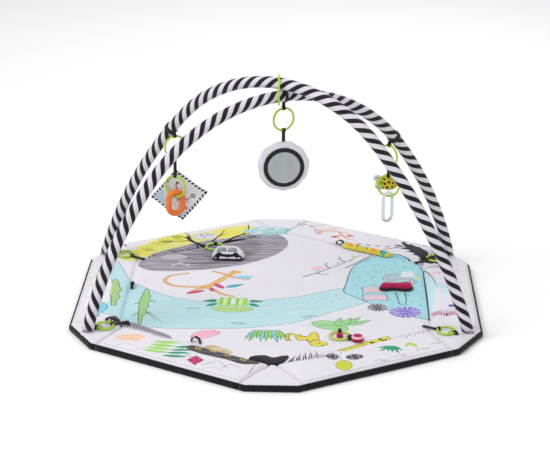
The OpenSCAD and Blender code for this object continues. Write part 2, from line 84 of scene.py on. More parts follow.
PAD = pivot_mm("wall_right_fold")[0]            # from the mat's middle to a crease
BAND_T = 2.5                                    # thickness of the edge band
RIM = box_mm("wall_right_cover")[1][0] + BAND_T     # from the mat's middle to a wall's outer edge
CREASE = box_mm("wall_right_backing")[1][1]     # half of a crease's length
CORNER_R = PAD / math.cos(math.pi / 6)          # from the mat's middle to a corner of the pad
WALL_INSET = 9.2                                # from a pad corner to the end of a crease
TAPER = 7                                       # how far a wall narrows outwards, at each end
TAB_GAP = 1.2                                   # between a corner tab and a wall
LINK_PITCH = 53                                 # between a link ring's top and bottom bars
RETAINER_D, BAR_D = 46, 5                       # a retainer ring, and the thickness of its bar
RETAINER_OUT = 38                               # from a pad corner to its retainer ring's middle
FLAT_BAR_Z = 23.5                               # the middle of a bar that lies on the mat
# Headings of the rings that hang, in degrees
LEFT_LINK_YAW, LEFT_RING_YAW = 33, -20
RIGHT_LINK_YAW, RIGHT_RING_YAW = -46, -14
MIRROR_LINK_YAW, MIRROR_YAW = 30, 8
# Steps that scatter marks evenly: along a line, and round a middle in radians
GOLDEN_PART = 0.6180339
GOLDEN_ANGLE = 2.399963


# ---------- colours and materials ----------

def srgb(code):
    """A hex colour as linear red, green and blue."""
    parts = [int(code[i:i + 2], 16) / 255 for i in (0, 2, 4)]
    return tuple(c / 12.92 if c <= 0.04045 else ((c + 0.055) / 1.055) ** 2.4 for c in parts)


WHITE = srgb("e6e3eb")
PAPER = srgb("e9e6ee")
LILAC_GREY = srgb("cbc6d6")
RIVER = srgb("b9dfe6")
POND = srgb("a2dbe6")
TEAL = srgb("3fb4cc")
SKY = srgb("86cfe6")
INK = srgb("1c1820")
YELLOW = srgb("e9e24e")
MOSS = srgb("b9bb3e")
BUSH = srgb("a5d3d6")
ORANGE = srgb("f2a04e")
MAGENTA = srgb("c41f66")
CRIMSON = srgb("b01850")
LEAF = srgb("a3d86e")
PALE_LEAF = srgb("cfeaa8")
JADE = srgb("169a72")
PINK = srgb("f5bccb")
LILAC = srgb("8377cf")
PURPLE = srgb("6a50b4")
GOLD = srgb("e8b93a")
BLACK = srgb("17141a")
SLATE = srgb("5b6f7c")
NAVY = srgb("2c3a46")
FOREST = srgb("1f5c3a")
FERN = srgb("4f8a4a")
MEADOW = srgb("4c8a3c")
GRASS = srgb("3f8f4a")
ROSE = srgb("d34e82")
STONE = srgb("8d8796")
MARK = srgb("8d8896")
PALE_MARK = srgb("a49fac")


class Nodes:
    """A short way to write a material's node tree. Its lengths are metres."""

    def __init__(self, name):
        self.material = bpy.data.materials.new(name)
        self.material.use_nodes = True
        self.tree = self.material.node_tree
        self.shader = self.tree.nodes["Principled BSDF"]

    def add(self, kind, inputs=None, **settings):
        node = self.tree.nodes.new("ShaderNode" + kind)
        for key, value in settings.items():
            setattr(node, key, value)
        for key, value in (inputs or {}).items():
            self.set(node, key, value)
        return node

    def set(self, node, key, value):
        if isinstance(value, bpy.types.NodeSocket):
            self.tree.links.new(value, node.inputs[key])
        elif isinstance(value, tuple) and len(value) == 3 and node.inputs[key].type == "RGBA":
            node.inputs[key].default_value = (*value, 1)
        else:
            node.inputs[key].default_value = value

    def math(self, operation, a, b=0.0):
        return self.add("Math", {0: a, 1: b}, operation=operation).outputs[0]

    def mix(self, factor, a, b, blend="MIX"):
        node = self.add("Mix", {0: factor, 6: a, 7: b}, data_type="RGBA", blend_type=blend)
        return node.outputs[2]

    def noise(self, vector, scale, detail=3.0):
        return self.add("TexNoise", {"Vector": vector, "Scale": scale, "Detail": detail}).outputs["Fac"]

    def wave(self, vector, scale, direction, distortion=0.6):
        return self.add("TexWave", {"Vector": vector, "Scale": scale, "Distortion": distortion},
                        bands_direction=direction).outputs["Fac"]

    def between(self, value, low, high, out_low=0.0, out_high=1.0):
        inputs = {"Value": value, "From Min": low, "From Max": high,
                  "To Min": out_low, "To Max": out_high}
        return self.add("MapRange", inputs, clamp=True).outputs["Result"]

    def coordinates(self):
        return self.add("TexCoord").outputs["Object"]

    def bump(self, height, distance, strength=1.0):
        node = self.add("Bump", {"Height": height, "Distance": distance, "Strength": strength})
        self.set(self.shader, "Normal", node.outputs["Normal"])

    def surface(self, **values):
        names = {"color": "Base Color", "roughness": "Roughness", "metal": "Metallic",
                 "specular": "Specular IOR Level", "alpha": "Alpha", "sheen": "Sheen Weight",
                 "coat": "Coat Weight", "coat_roughness": "Coat Roughness"}
        for key, value in values.items():
            self.set(self.shader, names[key], value)
        return self.material


WAVE_SCALE = 0.314      # the wave texture's scale for one band in each unit of length


def weave(n, at, pitch=1.3):
    """Threads that run every way, with the pitch in millimetres."""
    scale = WAVE_SCALE / (pitch * MM)
    across = n.wave(at, scale, "X")
    along = n.wave(at, scale, "Y")
    up = n.wave(at, scale, "Z")
    return n.math("ADD", n.math("MULTIPLY", across, along), n.math("MULTIPLY", up, 0.35))


def printed_fabric():
    """Printed polyester. The mesh carries the ink's colour, and its alpha says how sketchy it is."""
    n = Nodes("printed_fabric")
    at = n.coordinates()
    ink = n.add("Attribute", attribute_name="print")
    grain = n.between(n.noise(at, 900, 2), 0.3, 0.75, 0.93, 1.0)
    shade = n.between(n.noise(at, 9, 3), 0.3, 0.7, 0.965, 1.0)
    color = n.mix(1.0, ink.outputs["Color"], n.math("MULTIPLY", grain, shade), "MULTIPLY")
    turned = n.add("Mapping", {"Vector": at, "Rotation": (0, 0, 0.35), "Scale": (14, 240, 40)})
    strokes = n.between(n.noise(turned.outputs[0], 1.0, 5), 0.42, 0.66)
    sketch = n.math("SUBTRACT", 1.0, ink.outputs["Alpha"])
    color = n.mix(n.math("MULTIPLY", strokes, sketch), color, PAPER)
    folds = n.noise(at, 13, 2)
    creased = n.noise(n.add("Mapping", {"Vector": at, "Scale": (30, 11, 20)}).outputs[0], 1.0, 3)
    soft = n.math("ADD", n.math("MULTIPLY", folds, 20.0), n.math("MULTIPLY", creased, 8.0))
    n.bump(n.math("ADD", n.math("MULTIPLY", weave(n, at), 0.5), soft), 0.00022, 0.55)
    return n.surface(color=color, roughness=0.86, sheen=0.15, specular=0.25)


def plain_fabric(name, color, pitch=1.1, roughness=0.9):
    n = Nodes(name)
    at = n.coordinates()
    worn = n.between(n.noise(at, 55, 4), 0.3, 0.75, 0.88, 1.0)
    dark = tuple(c * 0.8 for c in color)
    n.set(n.shader, "Base Color", n.mix(worn, dark, color))
    n.bump(weave(n, at, pitch), 0.00025, 0.7)
    return n.surface(roughness=roughness, sheen=0.12, specular=0.25)


def striped_fabric():
    """Helical stripes: the mesh carries how many stripe pairs lie between a point and the arch's end."""
    n = Nodes("striped_fabric")
    at = n.coordinates()
    turns = n.add("Attribute", attribute_name="stripe").outputs["Fac"]
    part = n.math("FRACT", turns)
    edge = n.math("ABSOLUTE", n.math("SUBTRACT", part, 0.5))
    black = n.between(edge, 0.24, 0.26)
    grain = n.between(n.noise(at, 700, 2), 0.3, 0.75, 0.9, 1.0)
    soft = n.between(n.noise(at, 22, 3), 0.3, 0.7, 0.92, 1.0)
    light = n.mix(1.0, srgb("e4e0e9"), n.math("MULTIPLY", grain, soft), "MULTIPLY")
    n.set(n.shader, "Base Color", n.mix(black, light, srgb("1b1720")))
    n.bump(weave(n, at, 1.0), 0.00022, 0.6)
    return n.surface(roughness=0.84, sheen=0.18, specular=0.25)


def webbing():
    n = Nodes("black_webbing")
    at = n.coordinates()
    ribs = n.wave(at, WAVE_SCALE / (1.1 * MM), "Z", 0.4)
    cross = n.wave(at, WAVE_SCALE / (1.3 * MM), "X", 0.4)
    fade = n.between(n.noise(at, 120, 3), 0.3, 0.75, 0.6, 1.0)
    n.set(n.shader, "Base Color", n.mix(fade, srgb("0c0a0d"), srgb("201c22")))
    n.bump(n.math("ADD", ribs, cross), 0.0002, 0.6)
    return n.surface(roughness=0.75, sheen=0.1, specular=0.35)


def moulded_plastic(name, color, roughness=0.32, coat=0.3):
    n = Nodes(name)
    at = n.coordinates()
    cloud = n.between(n.noise(at, 38, 3), 0.3, 0.7, 0.9, 1.0)
    n.set(n.shader, "Base Color", n.mix(1.0, color, cloud, "MULTIPLY"))
    rough = n.between(n.noise(at, 160, 4), 0.3, 0.7, roughness * 0.85, roughness * 1.25)
    n.bump(n.noise(at, 420, 3), 0.00006, 0.5)
    return n.surface(roughness=rough, coat=coat, coat_roughness=0.15, specular=0.5)


def mirror_film():
    n = Nodes("mirror_film")
    at = n.coordinates()
    # painted reflection: the metal's colour is set to dark greys, mottled by noise, which paint in a darker,
    # uneven reflection
    n.set(n.shader, "Base Color", n.mix(n.noise(at, 30, 3), srgb("8e9496"), srgb("b3b7b8")))
    n.bump(n.noise(at, 26, 2), 0.0004, 0.5)
    return n.surface(metal=1.0, roughness=0.16)


def clear_plastic():
    n = Nodes("clear_plastic")
    at = n.coordinates()
    n.set(n.shader, "Base Color", n.mix(n.noise(at, 60, 3), srgb("dfe6ea"), srgb("f4f8fa")))
    n.bump(n.noise(at, 300, 3), 0.00005, 0.5)
    return n.surface(roughness=0.08, alpha=0.42, specular=0.6, coat=0.5)


def studio_floor():
    n = Nodes("studio_floor")
    at = n.coordinates()
    n.set(n.shader, "Base Color", n.mix(n.noise(at, 3, 2), srgb("fcfcfd"), srgb("ffffff")))
    return n.surface(roughness=0.9, specular=0.1)


PRINTED = printed_fabric()
STRIPED = striped_fabric()
WEBBING = webbing()
BLACK_FABRIC = plain_fabric("black_fabric", srgb("131116"), 1.4)
BLACK_SATIN = plain_fabric("bezel_fabric", srgb("1d1a20"), 0.9, 0.6)
GREY_THREAD = plain_fabric("grey_thread", srgb("8d8893"), 0.6)
LIME_PLASTIC = moulded_plastic("lime_plastic", srgb("add714"))
LEMON_PLASTIC = moulded_plastic("lemon_plastic", srgb("c3d22a"))
POLE_PLASTIC = moulded_plastic("pole_plastic", srgb("84898f"), 0.4, 0.1)
FOOT_PLASTIC = moulded_plastic("foot_plastic", srgb("bab7c1"), 0.6, 0.1)
TEETHER_RUBBER = moulded_plastic("teether_rubber", srgb("f5781e"), 0.42, 0.15)
PINK_BEAD = moulded_plastic("bead_pink", srgb("d2417f"), 0.25)
FERRULE_METAL = moulded_plastic("ferrule_metal", srgb("c6c9cc"), 0.3, 0.0)
FERRULE_METAL.node_tree.nodes["Principled BSDF"].inputs["Metallic"].default_value = 1.0
MIRROR = mirror_film()
PINK_TAPE = plain_fabric("pink_tape", srgb("d8488c"), 1.2, 0.8)
CLEAR = clear_plastic()


# ---------- meshes ----------

def make(name, verts, faces, material, body):
    """A mesh piece from vertices in millimetres, which rides on a body."""
    mesh = bpy.data.meshes.new(name)
    mesh.from_pydata([tuple(float(c) * MM for c in v) for v in verts], [], faces)
    mesh.materials.append(material)
    mesh.polygons.foreach_set("use_smooth", [True] * len(mesh.polygons))
    shell = bmesh.new()
    shell.from_mesh(mesh)
    bmesh.ops.recalc_face_normals(shell, faces=shell.faces)
    shell.to_mesh(mesh)
    shell.free()
    piece = bpy.data.objects.new(name, mesh)
    bpy.context.collection.objects.link(piece)
    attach(piece, body)
    return piece


def ring_faces(count, k, rings):
    """Quads from each of the first rings to the next one, where count rings have k vertices each."""
    return [[i * k + j, i * k + (j + 1) % k, ((i + 1) % count) * k + (j + 1) % k, ((i + 1) % count) * k + j]
            for i in range(rings) for j in range(k)]


def area_sign(loop):
    """Above zero for a loop that runs counter-clockwise."""
    p = np.array(loop)
    q = np.roll(p, -1, 0)
    return np.sum(p[:, 0] * q[:, 1] - q[:, 0] * p[:, 1])


def ccw(loop):
    loop = [tuple(map(float, p)) for p in loop]
    return loop if area_sign(loop) > 0 else loop[::-1]


def divided(line, step, closed=True):
    """The same loop or open line, with its long edges cut into equal lengths."""
    out = []
    for a, b in zip(line, line[1:] + line[:1] if closed else line[1:]):
        count = max(1, math.ceil(math.dist(a, b) / step))
        out += [(a[0] + (b[0] - a[0]) * i / count, a[1] + (b[1] - a[1]) * i / count)
                for i in range(count)]
    return out if closed else out + [line[-1]]


def edge_distance(points, loop):
    """How far each point lies from a closed loop's edges."""
    p = np.asarray(points)[:, None]
    a = np.array(loop)[None]
    b = np.roll(a, -1, 1)
    ab = b - a
    t = np.clip(((p - a) * ab).sum(2) / np.maximum((ab * ab).sum(2), 1e-12), 0, 1)
    return np.sqrt((((a + t[..., None] * ab) - p) ** 2).sum(2)).min(1)


def inside(points, loop):
    """Says of each point whether a closed loop holds it."""
    p = np.asarray(points)
    x, y = p[:, 0][:, None], p[:, 1][:, None]
    a = np.array(loop)
    b = np.roll(a, -1, 0)
    crosses = (a[:, 1] > y) != (b[:, 1] > y)
    slope = (b[:, 0] - a[:, 0]) / np.where(b[:, 1] == a[:, 1], 1e-12, b[:, 1] - a[:, 1])
    return (crosses & (x < a[:, 0] + (y - a[:, 1]) * slope)).sum(1) % 2 == 1


def ruffle(x, y, scale, seed=0.0):
    """Smooth noise from about -1 to 1."""
    return noise.noise(Vector((x / scale, y / scale, seed)))


def fill_points(outline, grid, insets):
    """Points inside a closed loop: rows that follow its edges, and a triangular grid between them."""
    free, wanted = [], []
    for a, b in zip(outline, outline[1:] + outline[:1]):
        length = max(math.dist(a, b), 1e-9)
        for inset in insets:
            free.append(((a[0] + b[0]) / 2 - (b[1] - a[1]) / length * inset,
                         (a[1] + b[1]) / 2 + (b[0] - a[0]) / length * inset))
            wanted.append(inset * 0.97)
    low, high = np.min(outline, 0), np.max(outline, 0)
    for row, y in enumerate(np.arange(low[1], high[1], grid * 0.866)):
        for x in np.arange(low[0], high[0], grid):
            free.append((x + (row % 2) * grid / 2, y))
            wanted.append(insets[-1] + grid * 0.4)
    free = np.array(free)
    return free[(edge_distance(free, outline) > np.array(wanted)) & inside(free, outline)]


def quilt(name, outline, top, bottom, art, body, grid=12, insets=(2, 5, 9, 14),
          base=WHITE, side=WHITE, under=BLACK, place=None, back_art=False, holes=(), material=None):
    """A closed sewn piece: the outline's inside, raised to top(x, y, d) and down to bottom(x, y, d),
    where d is the distance to the edge. art is a list of (colour, sketchiness, loop), drawn in order."""
    outline = divided(ccw(outline), grid)
    low, high = np.min(outline, 0), np.max(outline, 0)
    shapes = [s for s in art if (np.max(s[2], 0) > low).all() and (np.min(s[2], 0) < high).all()]
    shapes += [(None, 0, ccw(hole)) for hole in holes]
    points = list(outline)
    loops = [list(range(len(outline)))]
    for _, _, loop in shapes:
        loop = divided(loop, grid)
        loops.append(list(range(len(points), len(points) + len(loop))))
        points += loop
    points += [tuple(p) for p in fill_points(outline, grid, insets)]
    flat, _, faces, _, _, owners = delaunay_2d_cdt([Vector(p) for p in points], [], loops, 1, 1e-5, True)
    # a face takes the last shape drawn over it, and a hole has no colour and leaves no face
    faces = [(face, max(owner)) for face, owner in zip(faces, owners) if 0 in owner]
    faces = [(face, ink) for face, ink in faces if ink == 0 or shapes[ink - 1][0] is not None]
    used = sorted({i for face, _ in faces for i in face})
    index = {old: new for new, old in enumerate(used)}
    plan = [tuple(flat[i]) for i in used]
    depth = edge_distance(plan, outline)
    depth[depth < 1e-3] = 0
    count = len(plan)
    verts = [(x, y, top(x, y, d)) for (x, y), d in zip(plan, depth)]
    verts += [(x, y, bottom(x, y, d)) for (x, y), d in zip(plan, depth)]
    polygons, colors = [], []
    for face, ink in faces:
        face = [index[i] for i in face]
        face = face if area_sign([plan[i] for i in face]) > 0 else face[::-1]
        polygons.append(face)
        colors.append((*base, 1.0) if ink == 0 else (*shapes[ink - 1][0], 1.0 - shapes[ink - 1][1]))
    edges = {(a, b) for p in polygons for a, b in zip(p, p[1:] + p[:1])}
    rim = [(a, b) for a, b in edges if (b, a) not in edges]
    for face, color in list(zip(polygons, colors)):
        polygons.append([i + count for i in reversed(face)])
        colors.append(color if back_art else (*under, 1.0))
    for a, b in sorted(rim):
        polygons.append([b, a, a + count, b + count])
        colors.append((*side, 1.0))
    if place is not None:
        verts = [tuple(place @ Vector(v)) for v in verts]
    piece = make(name, verts, polygons, material or PRINTED, body)
    paint(piece, colors)
    return piece


def paint(piece, colors):
    """Gives each face its own printed colour."""
    layer = piece.data.color_attributes.new("print", "FLOAT_COLOR", "CORNER")
    values = [c for face, color in zip(piece.data.polygons, colors)
              for _ in range(face.loop_total) for c in color]
    layer.data.foreach_set("color", values)


def crowned(low, high, radius):
    """A height that rises from the edge like a stuffed panel's."""
    def height(x, y, d):
        t = min(d / radius, 1.0)
        return low + (high - low) * (1 - (1 - t) ** 2) ** 0.5
    return height


def sweep(name, path, profile, material, body, closed=False, sides=None):
    """A profile of (outward, upward) points along a path. Outward is to the path's right, or along
    the vector that sides gives at each point."""
    up = (0, 0, 1)
    path = np.array(path, float)
    count = len(path)
    verts = []
    for i in range(count):
        before = path[(i - 1) % count] if closed or i > 0 else path[i] * 2 - path[i + 1]
        after = path[(i + 1) % count] if closed or i < count - 1 else path[i] * 2 - path[i - 1]
        a = (path[i] - before) / np.linalg.norm(path[i] - before)
        b = (after - path[i]) / np.linalg.norm(after - path[i])
        tangent = (a + b) / np.linalg.norm(a + b)
        if sides is None:
            side = np.cross(tangent, up)
            side /= np.linalg.norm(side) * max(0.3, float(tangent @ a))
            rise = np.array(up, float)
        else:
            side = np.array(sides[i], float)
            rise = np.cross(side, tangent)
            rise /= np.linalg.norm(rise)
        verts += [path[i] + side * o + rise * u for o, u in profile]
    k = len(profile)
    faces = ring_faces(count, k, count if closed else count - 1)
    if not closed:
        faces.append(list(range(k))[::-1])
        faces.append([(count - 1) * k + j for j in range(k)])
    return make(name, verts, faces, material, body)


def tape(width, thickness):
    """The cross-section of webbing, with rounded edges."""
    w, t = width / 2, thickness / 2
    return [(-w, 0), (-w + t * 0.5, -t), (w - t * 0.5, -t), (w, 0), (w - t * 0.5, t), (-w + t * 0.5, t)]


def joined(name, pieces):
    """Joins meshes that ride on one body into the first, and names it."""
    bpy.ops.object.select_all(action="DESELECT")
    for piece in pieces:
        piece.select_set(True)
    bpy.context.view_layer.objects.active = pieces[0]
    bpy.ops.object.join()
    pieces[0].name = name
    return pieces[0]


def stitches(name, path, body, material, length=3.2, gap=2.4, size=0.7):
    """A row of thread stitches along a path, each a small rounded bar."""
    verts, faces = [], []
    path = [Vector(p) for p in path]
    walked, position = 0.0, []
    for a, b in zip(path, path[1:]):
        span = (b - a).length
        while walked < span:
            position.append((a.lerp(b, walked / span), (b - a).normalized()))
            walked += length + gap
        walked -= span
    for at, along in position:
        side = along.cross(Vector((0, 0, 1))).normalized() * size / 2
        rise = Vector((0, 0, size * 0.45))
        first = len(verts)
        for offset, grow in ((-0.5, 0.35), (-0.32, 1), (0.32, 1), (0.5, 0.35)):
            middle = at + along * length * offset
            verts += [middle - side * grow, middle + rise * grow, middle + side * grow, middle - rise * grow]
        for ring in range(3):
            for j in range(4):
                a, b = first + ring * 4 + j, first + ring * 4 + (j + 1) % 4
                faces.append([a, b, b + 4, a + 4])
        faces.append([first + j for j in (3, 2, 1, 0)])
        faces.append([first + 12 + j for j in range(4)])
    return make(name, verts, faces, material, body)


# ---------- drawing ----------

drawing = []        # the mat's print, as (colour, sketchiness, loop)


def shape(color, points, sketch=0.0, where=None):
    """Adds a filled shape to the mat's print, or to the list where."""
    (drawing if where is None else where).append((color, sketch, ccw(points)))


def away(x, y, reach, angle):
    """The point at a reach from x, y in a direction in degrees."""
    return x + reach * math.cos(math.radians(angle)), y + reach * math.sin(math.radians(angle))


def corners(x, y, w, h):
    return [(x, y), (x + w, y), (x + w, y + h), (x, y + h)]


def oval_points(cx, cy, rx, ry, turn=0.0, count=28):
    c, s = math.cos(math.radians(turn)), math.sin(math.radians(turn))
    ring = [(rx * math.cos(2 * math.pi * i / count), ry * math.sin(2 * math.pi * i / count))
            for i in range(count)]
    return [(cx + x * c - y * s, cy + x * s + y * c) for x, y in ring]


def oval(color, cx, cy, rx, ry, turn=0.0, sketch=0.0, where=None, count=20):
    shape(color, oval_points(cx, cy, rx, ry, turn, count), sketch, where)


def curve(points, per=6, closed=False):
    """A smooth line through the points."""
    p = [Vector(q) for q in points]
    p = [p[-1], *p, p[0], p[1]] if closed else [p[0] * 2 - p[1], *p, p[-1] * 2 - p[-2]]
    out = []
    for a, b, c, d in zip(p, p[1:], p[2:], p[3:]):
        for i in range(per):
            t = i / per
            out.append((b * 2 + (c - a) * t + (a * 2 - b * 5 + c * 4 - d) * t ** 2
                        + (b * 3 - a - c * 3 + d) * t ** 3) / 2)
    if not closed:
        out.append(p[-2])
    return [tuple(q) for q in out]


def blob(color, points, sketch=0.0, where=None, outline=None, width=1.6):
    """A smooth closed shape through the points, with an ink outline if a colour is given."""
    loop = ccw(curve(points, 5, closed=True))
    if outline is None:
        shape(color, loop, sketch, where)
        return
    p = np.array(loop)
    ahead, behind = np.roll(p, -1, 0), np.roll(p, 1, 0)
    along = (ahead - behind) / np.linalg.norm(ahead - behind, axis=1)[:, None]
    out = np.stack([along[:, 1], -along[:, 0]], 1)
    shape(outline, [tuple(q) for q in p + out * width / 2], 0, where)
    shape(color, [tuple(q) for q in p - out * width / 2], sketch, where)


def stroke(color, points, width=1.8, end=None, where=None, per=5):
    """A drawn line, which narrows or widens to the width end."""
    line = np.array(curve(points, per))
    along = np.gradient(line, axis=0)
    along /= np.linalg.norm(along, axis=1)[:, None]
    side = np.stack([-along[:, 1], along[:, 0]], 1)
    widths = np.linspace(width, width if end is None else end, len(line))[:, None] / 2
    left, right = line + side * widths, line - side * widths
    shape(color, [tuple(q) for q in left] + [tuple(q) for q in right[::-1]], where=where)


def strokes(color, lines, width=1.8, end=None, per=5):
    for line in lines:
        stroke(color, line, width, end, per=per)


def leaf(color, x, y, length, width, turn, where=None):
    """A pointed leaf from its stalk at x, y."""
    c, s = math.cos(math.radians(turn)), math.sin(math.radians(turn))
    side = [(length * t, width / 2 * math.sin(math.pi * t ** 0.8))
            for t in (0, 0.15, 0.35, 0.55, 0.75, 0.9, 1)]
    ring = side + [(a, -b) for a, b in side[-2:0:-1]]
    shape(color, [(x + a * c - b * s, y + a * s + b * c) for a, b in ring], where=where)


def star_leaf(color, x, y, size, spread, count, turn):
    """Leaves that fan out from one point, as on a palm."""
    for i in range(count):
        angle = turn + spread * (i / (count - 1) - 0.5)
        leaf(color, x, y, size * (0.75 + 0.25 * math.cos(math.radians(angle - turn))), size * 0.16, angle)


# ---------- the mat ----------

def turned(points, angle):
    """Points turned about the mat's middle, by an angle in degrees."""
    c, s = math.cos(math.radians(angle)), math.sin(math.radians(angle))
    return [(x * c - y * s, x * s + y * c) for x, y in points]


def hexagon(apothem):
    corner = (apothem / math.cos(math.pi / 6), 0)
    return [turned([corner], angle)[0] for angle in sorted(CORNERS.values())]


def tab_point(along, out):
    """A point on a tab's side seam, beside a wall: x is along the rim and y outward."""
    return out / 2 - along * math.sqrt(3) / 2, out * math.sqrt(3) / 2 + along / 2


def tab_outline(inset=0.0):
    """A corner tab, with y outward: its neck, its side seams and its cut corner."""
    half = WALL_INSET * math.cos(math.pi / 6) - TAB_GAP - inset / 2
    rim = RIM - inset
    seam = tab_point(CREASE - TAPER + TAB_GAP + inset, rim)
    front_y = box_mm("mat_backing")[1][1] - inset
    front_x = (rim - front_y * math.sqrt(3) / 2) * 2
    neck_y = CORNER_R - WALL_INSET / 2 + 0.6 + inset
    return [(-half, neck_y), (half, neck_y), seam,
            (front_x, front_y), (-front_x, front_y), (-seam[0], seam[1])]


def upright(corner_points, corner):
    """From a tab's own frame, with y outward, to the row's."""
    return turned(corner_points, CORNERS[corner] - 90)


def cushion_top(low, high, radius, ripple, scale, seed):
    """A crowned height with soft dips in it."""
    height = crowned(low, high, radius)

    def top(x, y, d):
        ease = min(d / radius, 1.0)
        return height(x, y, d) - ease * ripple * (0.5 + 0.5 * ruffle(x, y, scale, seed))
    return top


def level(z):
    return lambda x, y, d: z


# The black edge band's section, as (outward, upward)
BINDING = [(-7, 0.3), (-1.5, 0.2), (0.2, 2), (0.8, 7), (0.2, 12), (-1.5, 14.2), (-4.5, 14.6), (-7, 12)]


def binding_path(points):
    """An edge band's path on the floor, which wobbles a little as a sewn one does."""
    return [(x + 0.5 * ruffle(x, y, 23, 3.0), y + 0.5 * ruffle(x, y, 23, 8.0), 0.0)
            for x, y in divided(points, 14, closed=False)]


def build_floor(art):
    floor = quilt("floor_print", hexagon(PAD - 0.4), cushion_top(11.2, 20.2, 22, 3.0, 62, 1.0),
                  level(2.2), art, "mat", under=WHITE)
    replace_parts(floor, "floor_cover", "floor_core")
    under = quilt("mat_underside", hexagon(PAD - 0.2), level(2.0), level(0.0), [], "mat",
                  grid=40, material=BLACK_FABRIC)
    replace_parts(under, "mat_backing")


def build_tab(corner, art):
    """A corner tab, with a hole above each pocket that it carries."""
    middle = upright([(0, RIM)], corner)[0]
    holes = [oval_points(x, y, 11.5, 11.5, count=20) for x, y in FEET
             if corner in ARCH_CORNERS and math.dist((x, y), middle) < 120]
    neck, rim = tab_outline(0.6), tab_outline(3)
    right, left = neck[2], neck[5]
    outline = neck[:2] + [(right[0] - 1.4, right[1] - 2.4)] + rim[3:5] + [(left[0] + 1.4, left[1] - 2.4)]
    tab = quilt("tab_" + corner, upright(outline, corner), cushion_top(12.0, 20.2, 14, 2.0, 30, 2.0),
                level(2.2), art, "mat", grid=9, insets=(1.5, 4, 8), under=WHITE,
                holes=holes)
    sweep("band_" + corner, binding_path(upright(tab_outline()[2:], corner)), BINDING, BLACK_FABRIC, "mat")
    return tab


def build_wall(side, art):
    """A fold-up wall: its edge band, printed panel, rim stitches, and the flat strip that lies over its
    crease.
    """
    angle = WALLS[side]
    body = "wall_" + side
    end = CREASE - TAPER
    rim = turned([(RIM, -end - 0.3), (RIM, end + 0.3)], angle)
    band = sweep(body + "_binding", binding_path(rim), BINDING, BLACK_FABRIC, body)
    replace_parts(band, body + "_backing")
    outline = turned([(PAD + 0.4, -CREASE + 0.5), (RIM - 3, -end + 0.3), (RIM - 3, end - 0.3),
                      (PAD + 0.4, CREASE - 0.5)], angle)
    top = cushion_top(11.2, 24.6, 30, 5.0, 46, 4.0 + angle)
    panel = quilt(body + "_print", outline, top, level(0.6), art, body)
    seam = turned([(RIM - 10, t) for t in np.linspace(-end + 8, end - 8, 40)], angle)
    stitches(body + "_stitches", [(x, y, top(x, y, 7.0) + 0.15) for x, y in seam], body,
             GREY_THREAD, length=4.0, gap=3.0, size=0.9)
    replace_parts(panel, body + "_cover")
    strip = [(PAD - 6, -CREASE + 4), (PAD + 6, -CREASE + 4), (PAD + 6, CREASE - 4), (PAD - 6, CREASE - 4)]
    hinge = quilt(body + "_hinge", turned(strip, angle), level(12.6), level(11.2), art, "mat",
                  grid=24, insets=(2, 4))
    hinge.parent = None
    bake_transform(hinge)


def build_mat(art):
    build_floor(art)
    tabs = [build_tab(corner, art) for corner in CORNERS]
    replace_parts(tabs[0], "tab_covers", "tab_cores")
    for side in WALLS:
        build_wall(side, art)


# ---------- the arches ----------

# heading: of the arch's plane, in degrees. lean: how far its feet lean in. span: half of its width.
# shoulder: the side arcs' radius. split: the slope where the top arc begins.
UPPER = dict(heading=-27.4, lean=18.5, span=494, shoulder=1100, split=43)
LOWER = dict(heading=30.8, lean=15, span=495, shoulder=870, split=39)
FOOT_Z = 27         # where a sleeve ends
BALL_Z = 14         # the middle of a foot's ball
SLEEVE_R = 13.9
STRIPE = 31.0       # along the sleeve, from one black stripe to the next


def arch_line(arch):
    """Points along a bow, from its left foot to its right one, with the outward normal at each."""
    lean, split, r = math.radians(arch["lean"]), math.radians(arch["split"]), arch["shoulder"]
    cx, cz = arch["span"] - r * math.cos(lean), FOOT_Z - r * math.sin(lean)
    top_r, top_z = r + cx / math.cos(split), cz - cx * math.tan(split)
    half, steps = [], 110
    for i in range(steps + 1):
        t = lean + (math.pi / 2 - lean) * i / steps
        if t < split:
            half.append((cx + r * math.cos(t), cz + r * math.sin(t), t))
        else:
            half.append((top_r * math.cos(t), top_z + top_r * math.sin(t), t))
    line = [(-s, z, math.pi - t) for s, z, t in half] + [(s, z, t) for s, z, t in half[-2::-1]]
    c, n = math.cos(math.radians(arch["heading"])), math.sin(math.radians(arch["heading"]))
    return [(np.array((s * c, s * n, z)), np.array((math.cos(t) * c, math.cos(t) * n, math.sin(t))))
            for s, z, t in line]


def foot_places():
    """Where the four ball feet stand on the mat."""
    feet = []
    for arch in (UPPER, LOWER):
        reach = arch["span"] + (FOOT_Z - BALL_Z) * math.tan(math.radians(arch["lean"]))
        feet += [turned([(sign * reach, 0)], arch["heading"])[0] for sign in (1, -1)]
    return feet


FEET = foot_places()


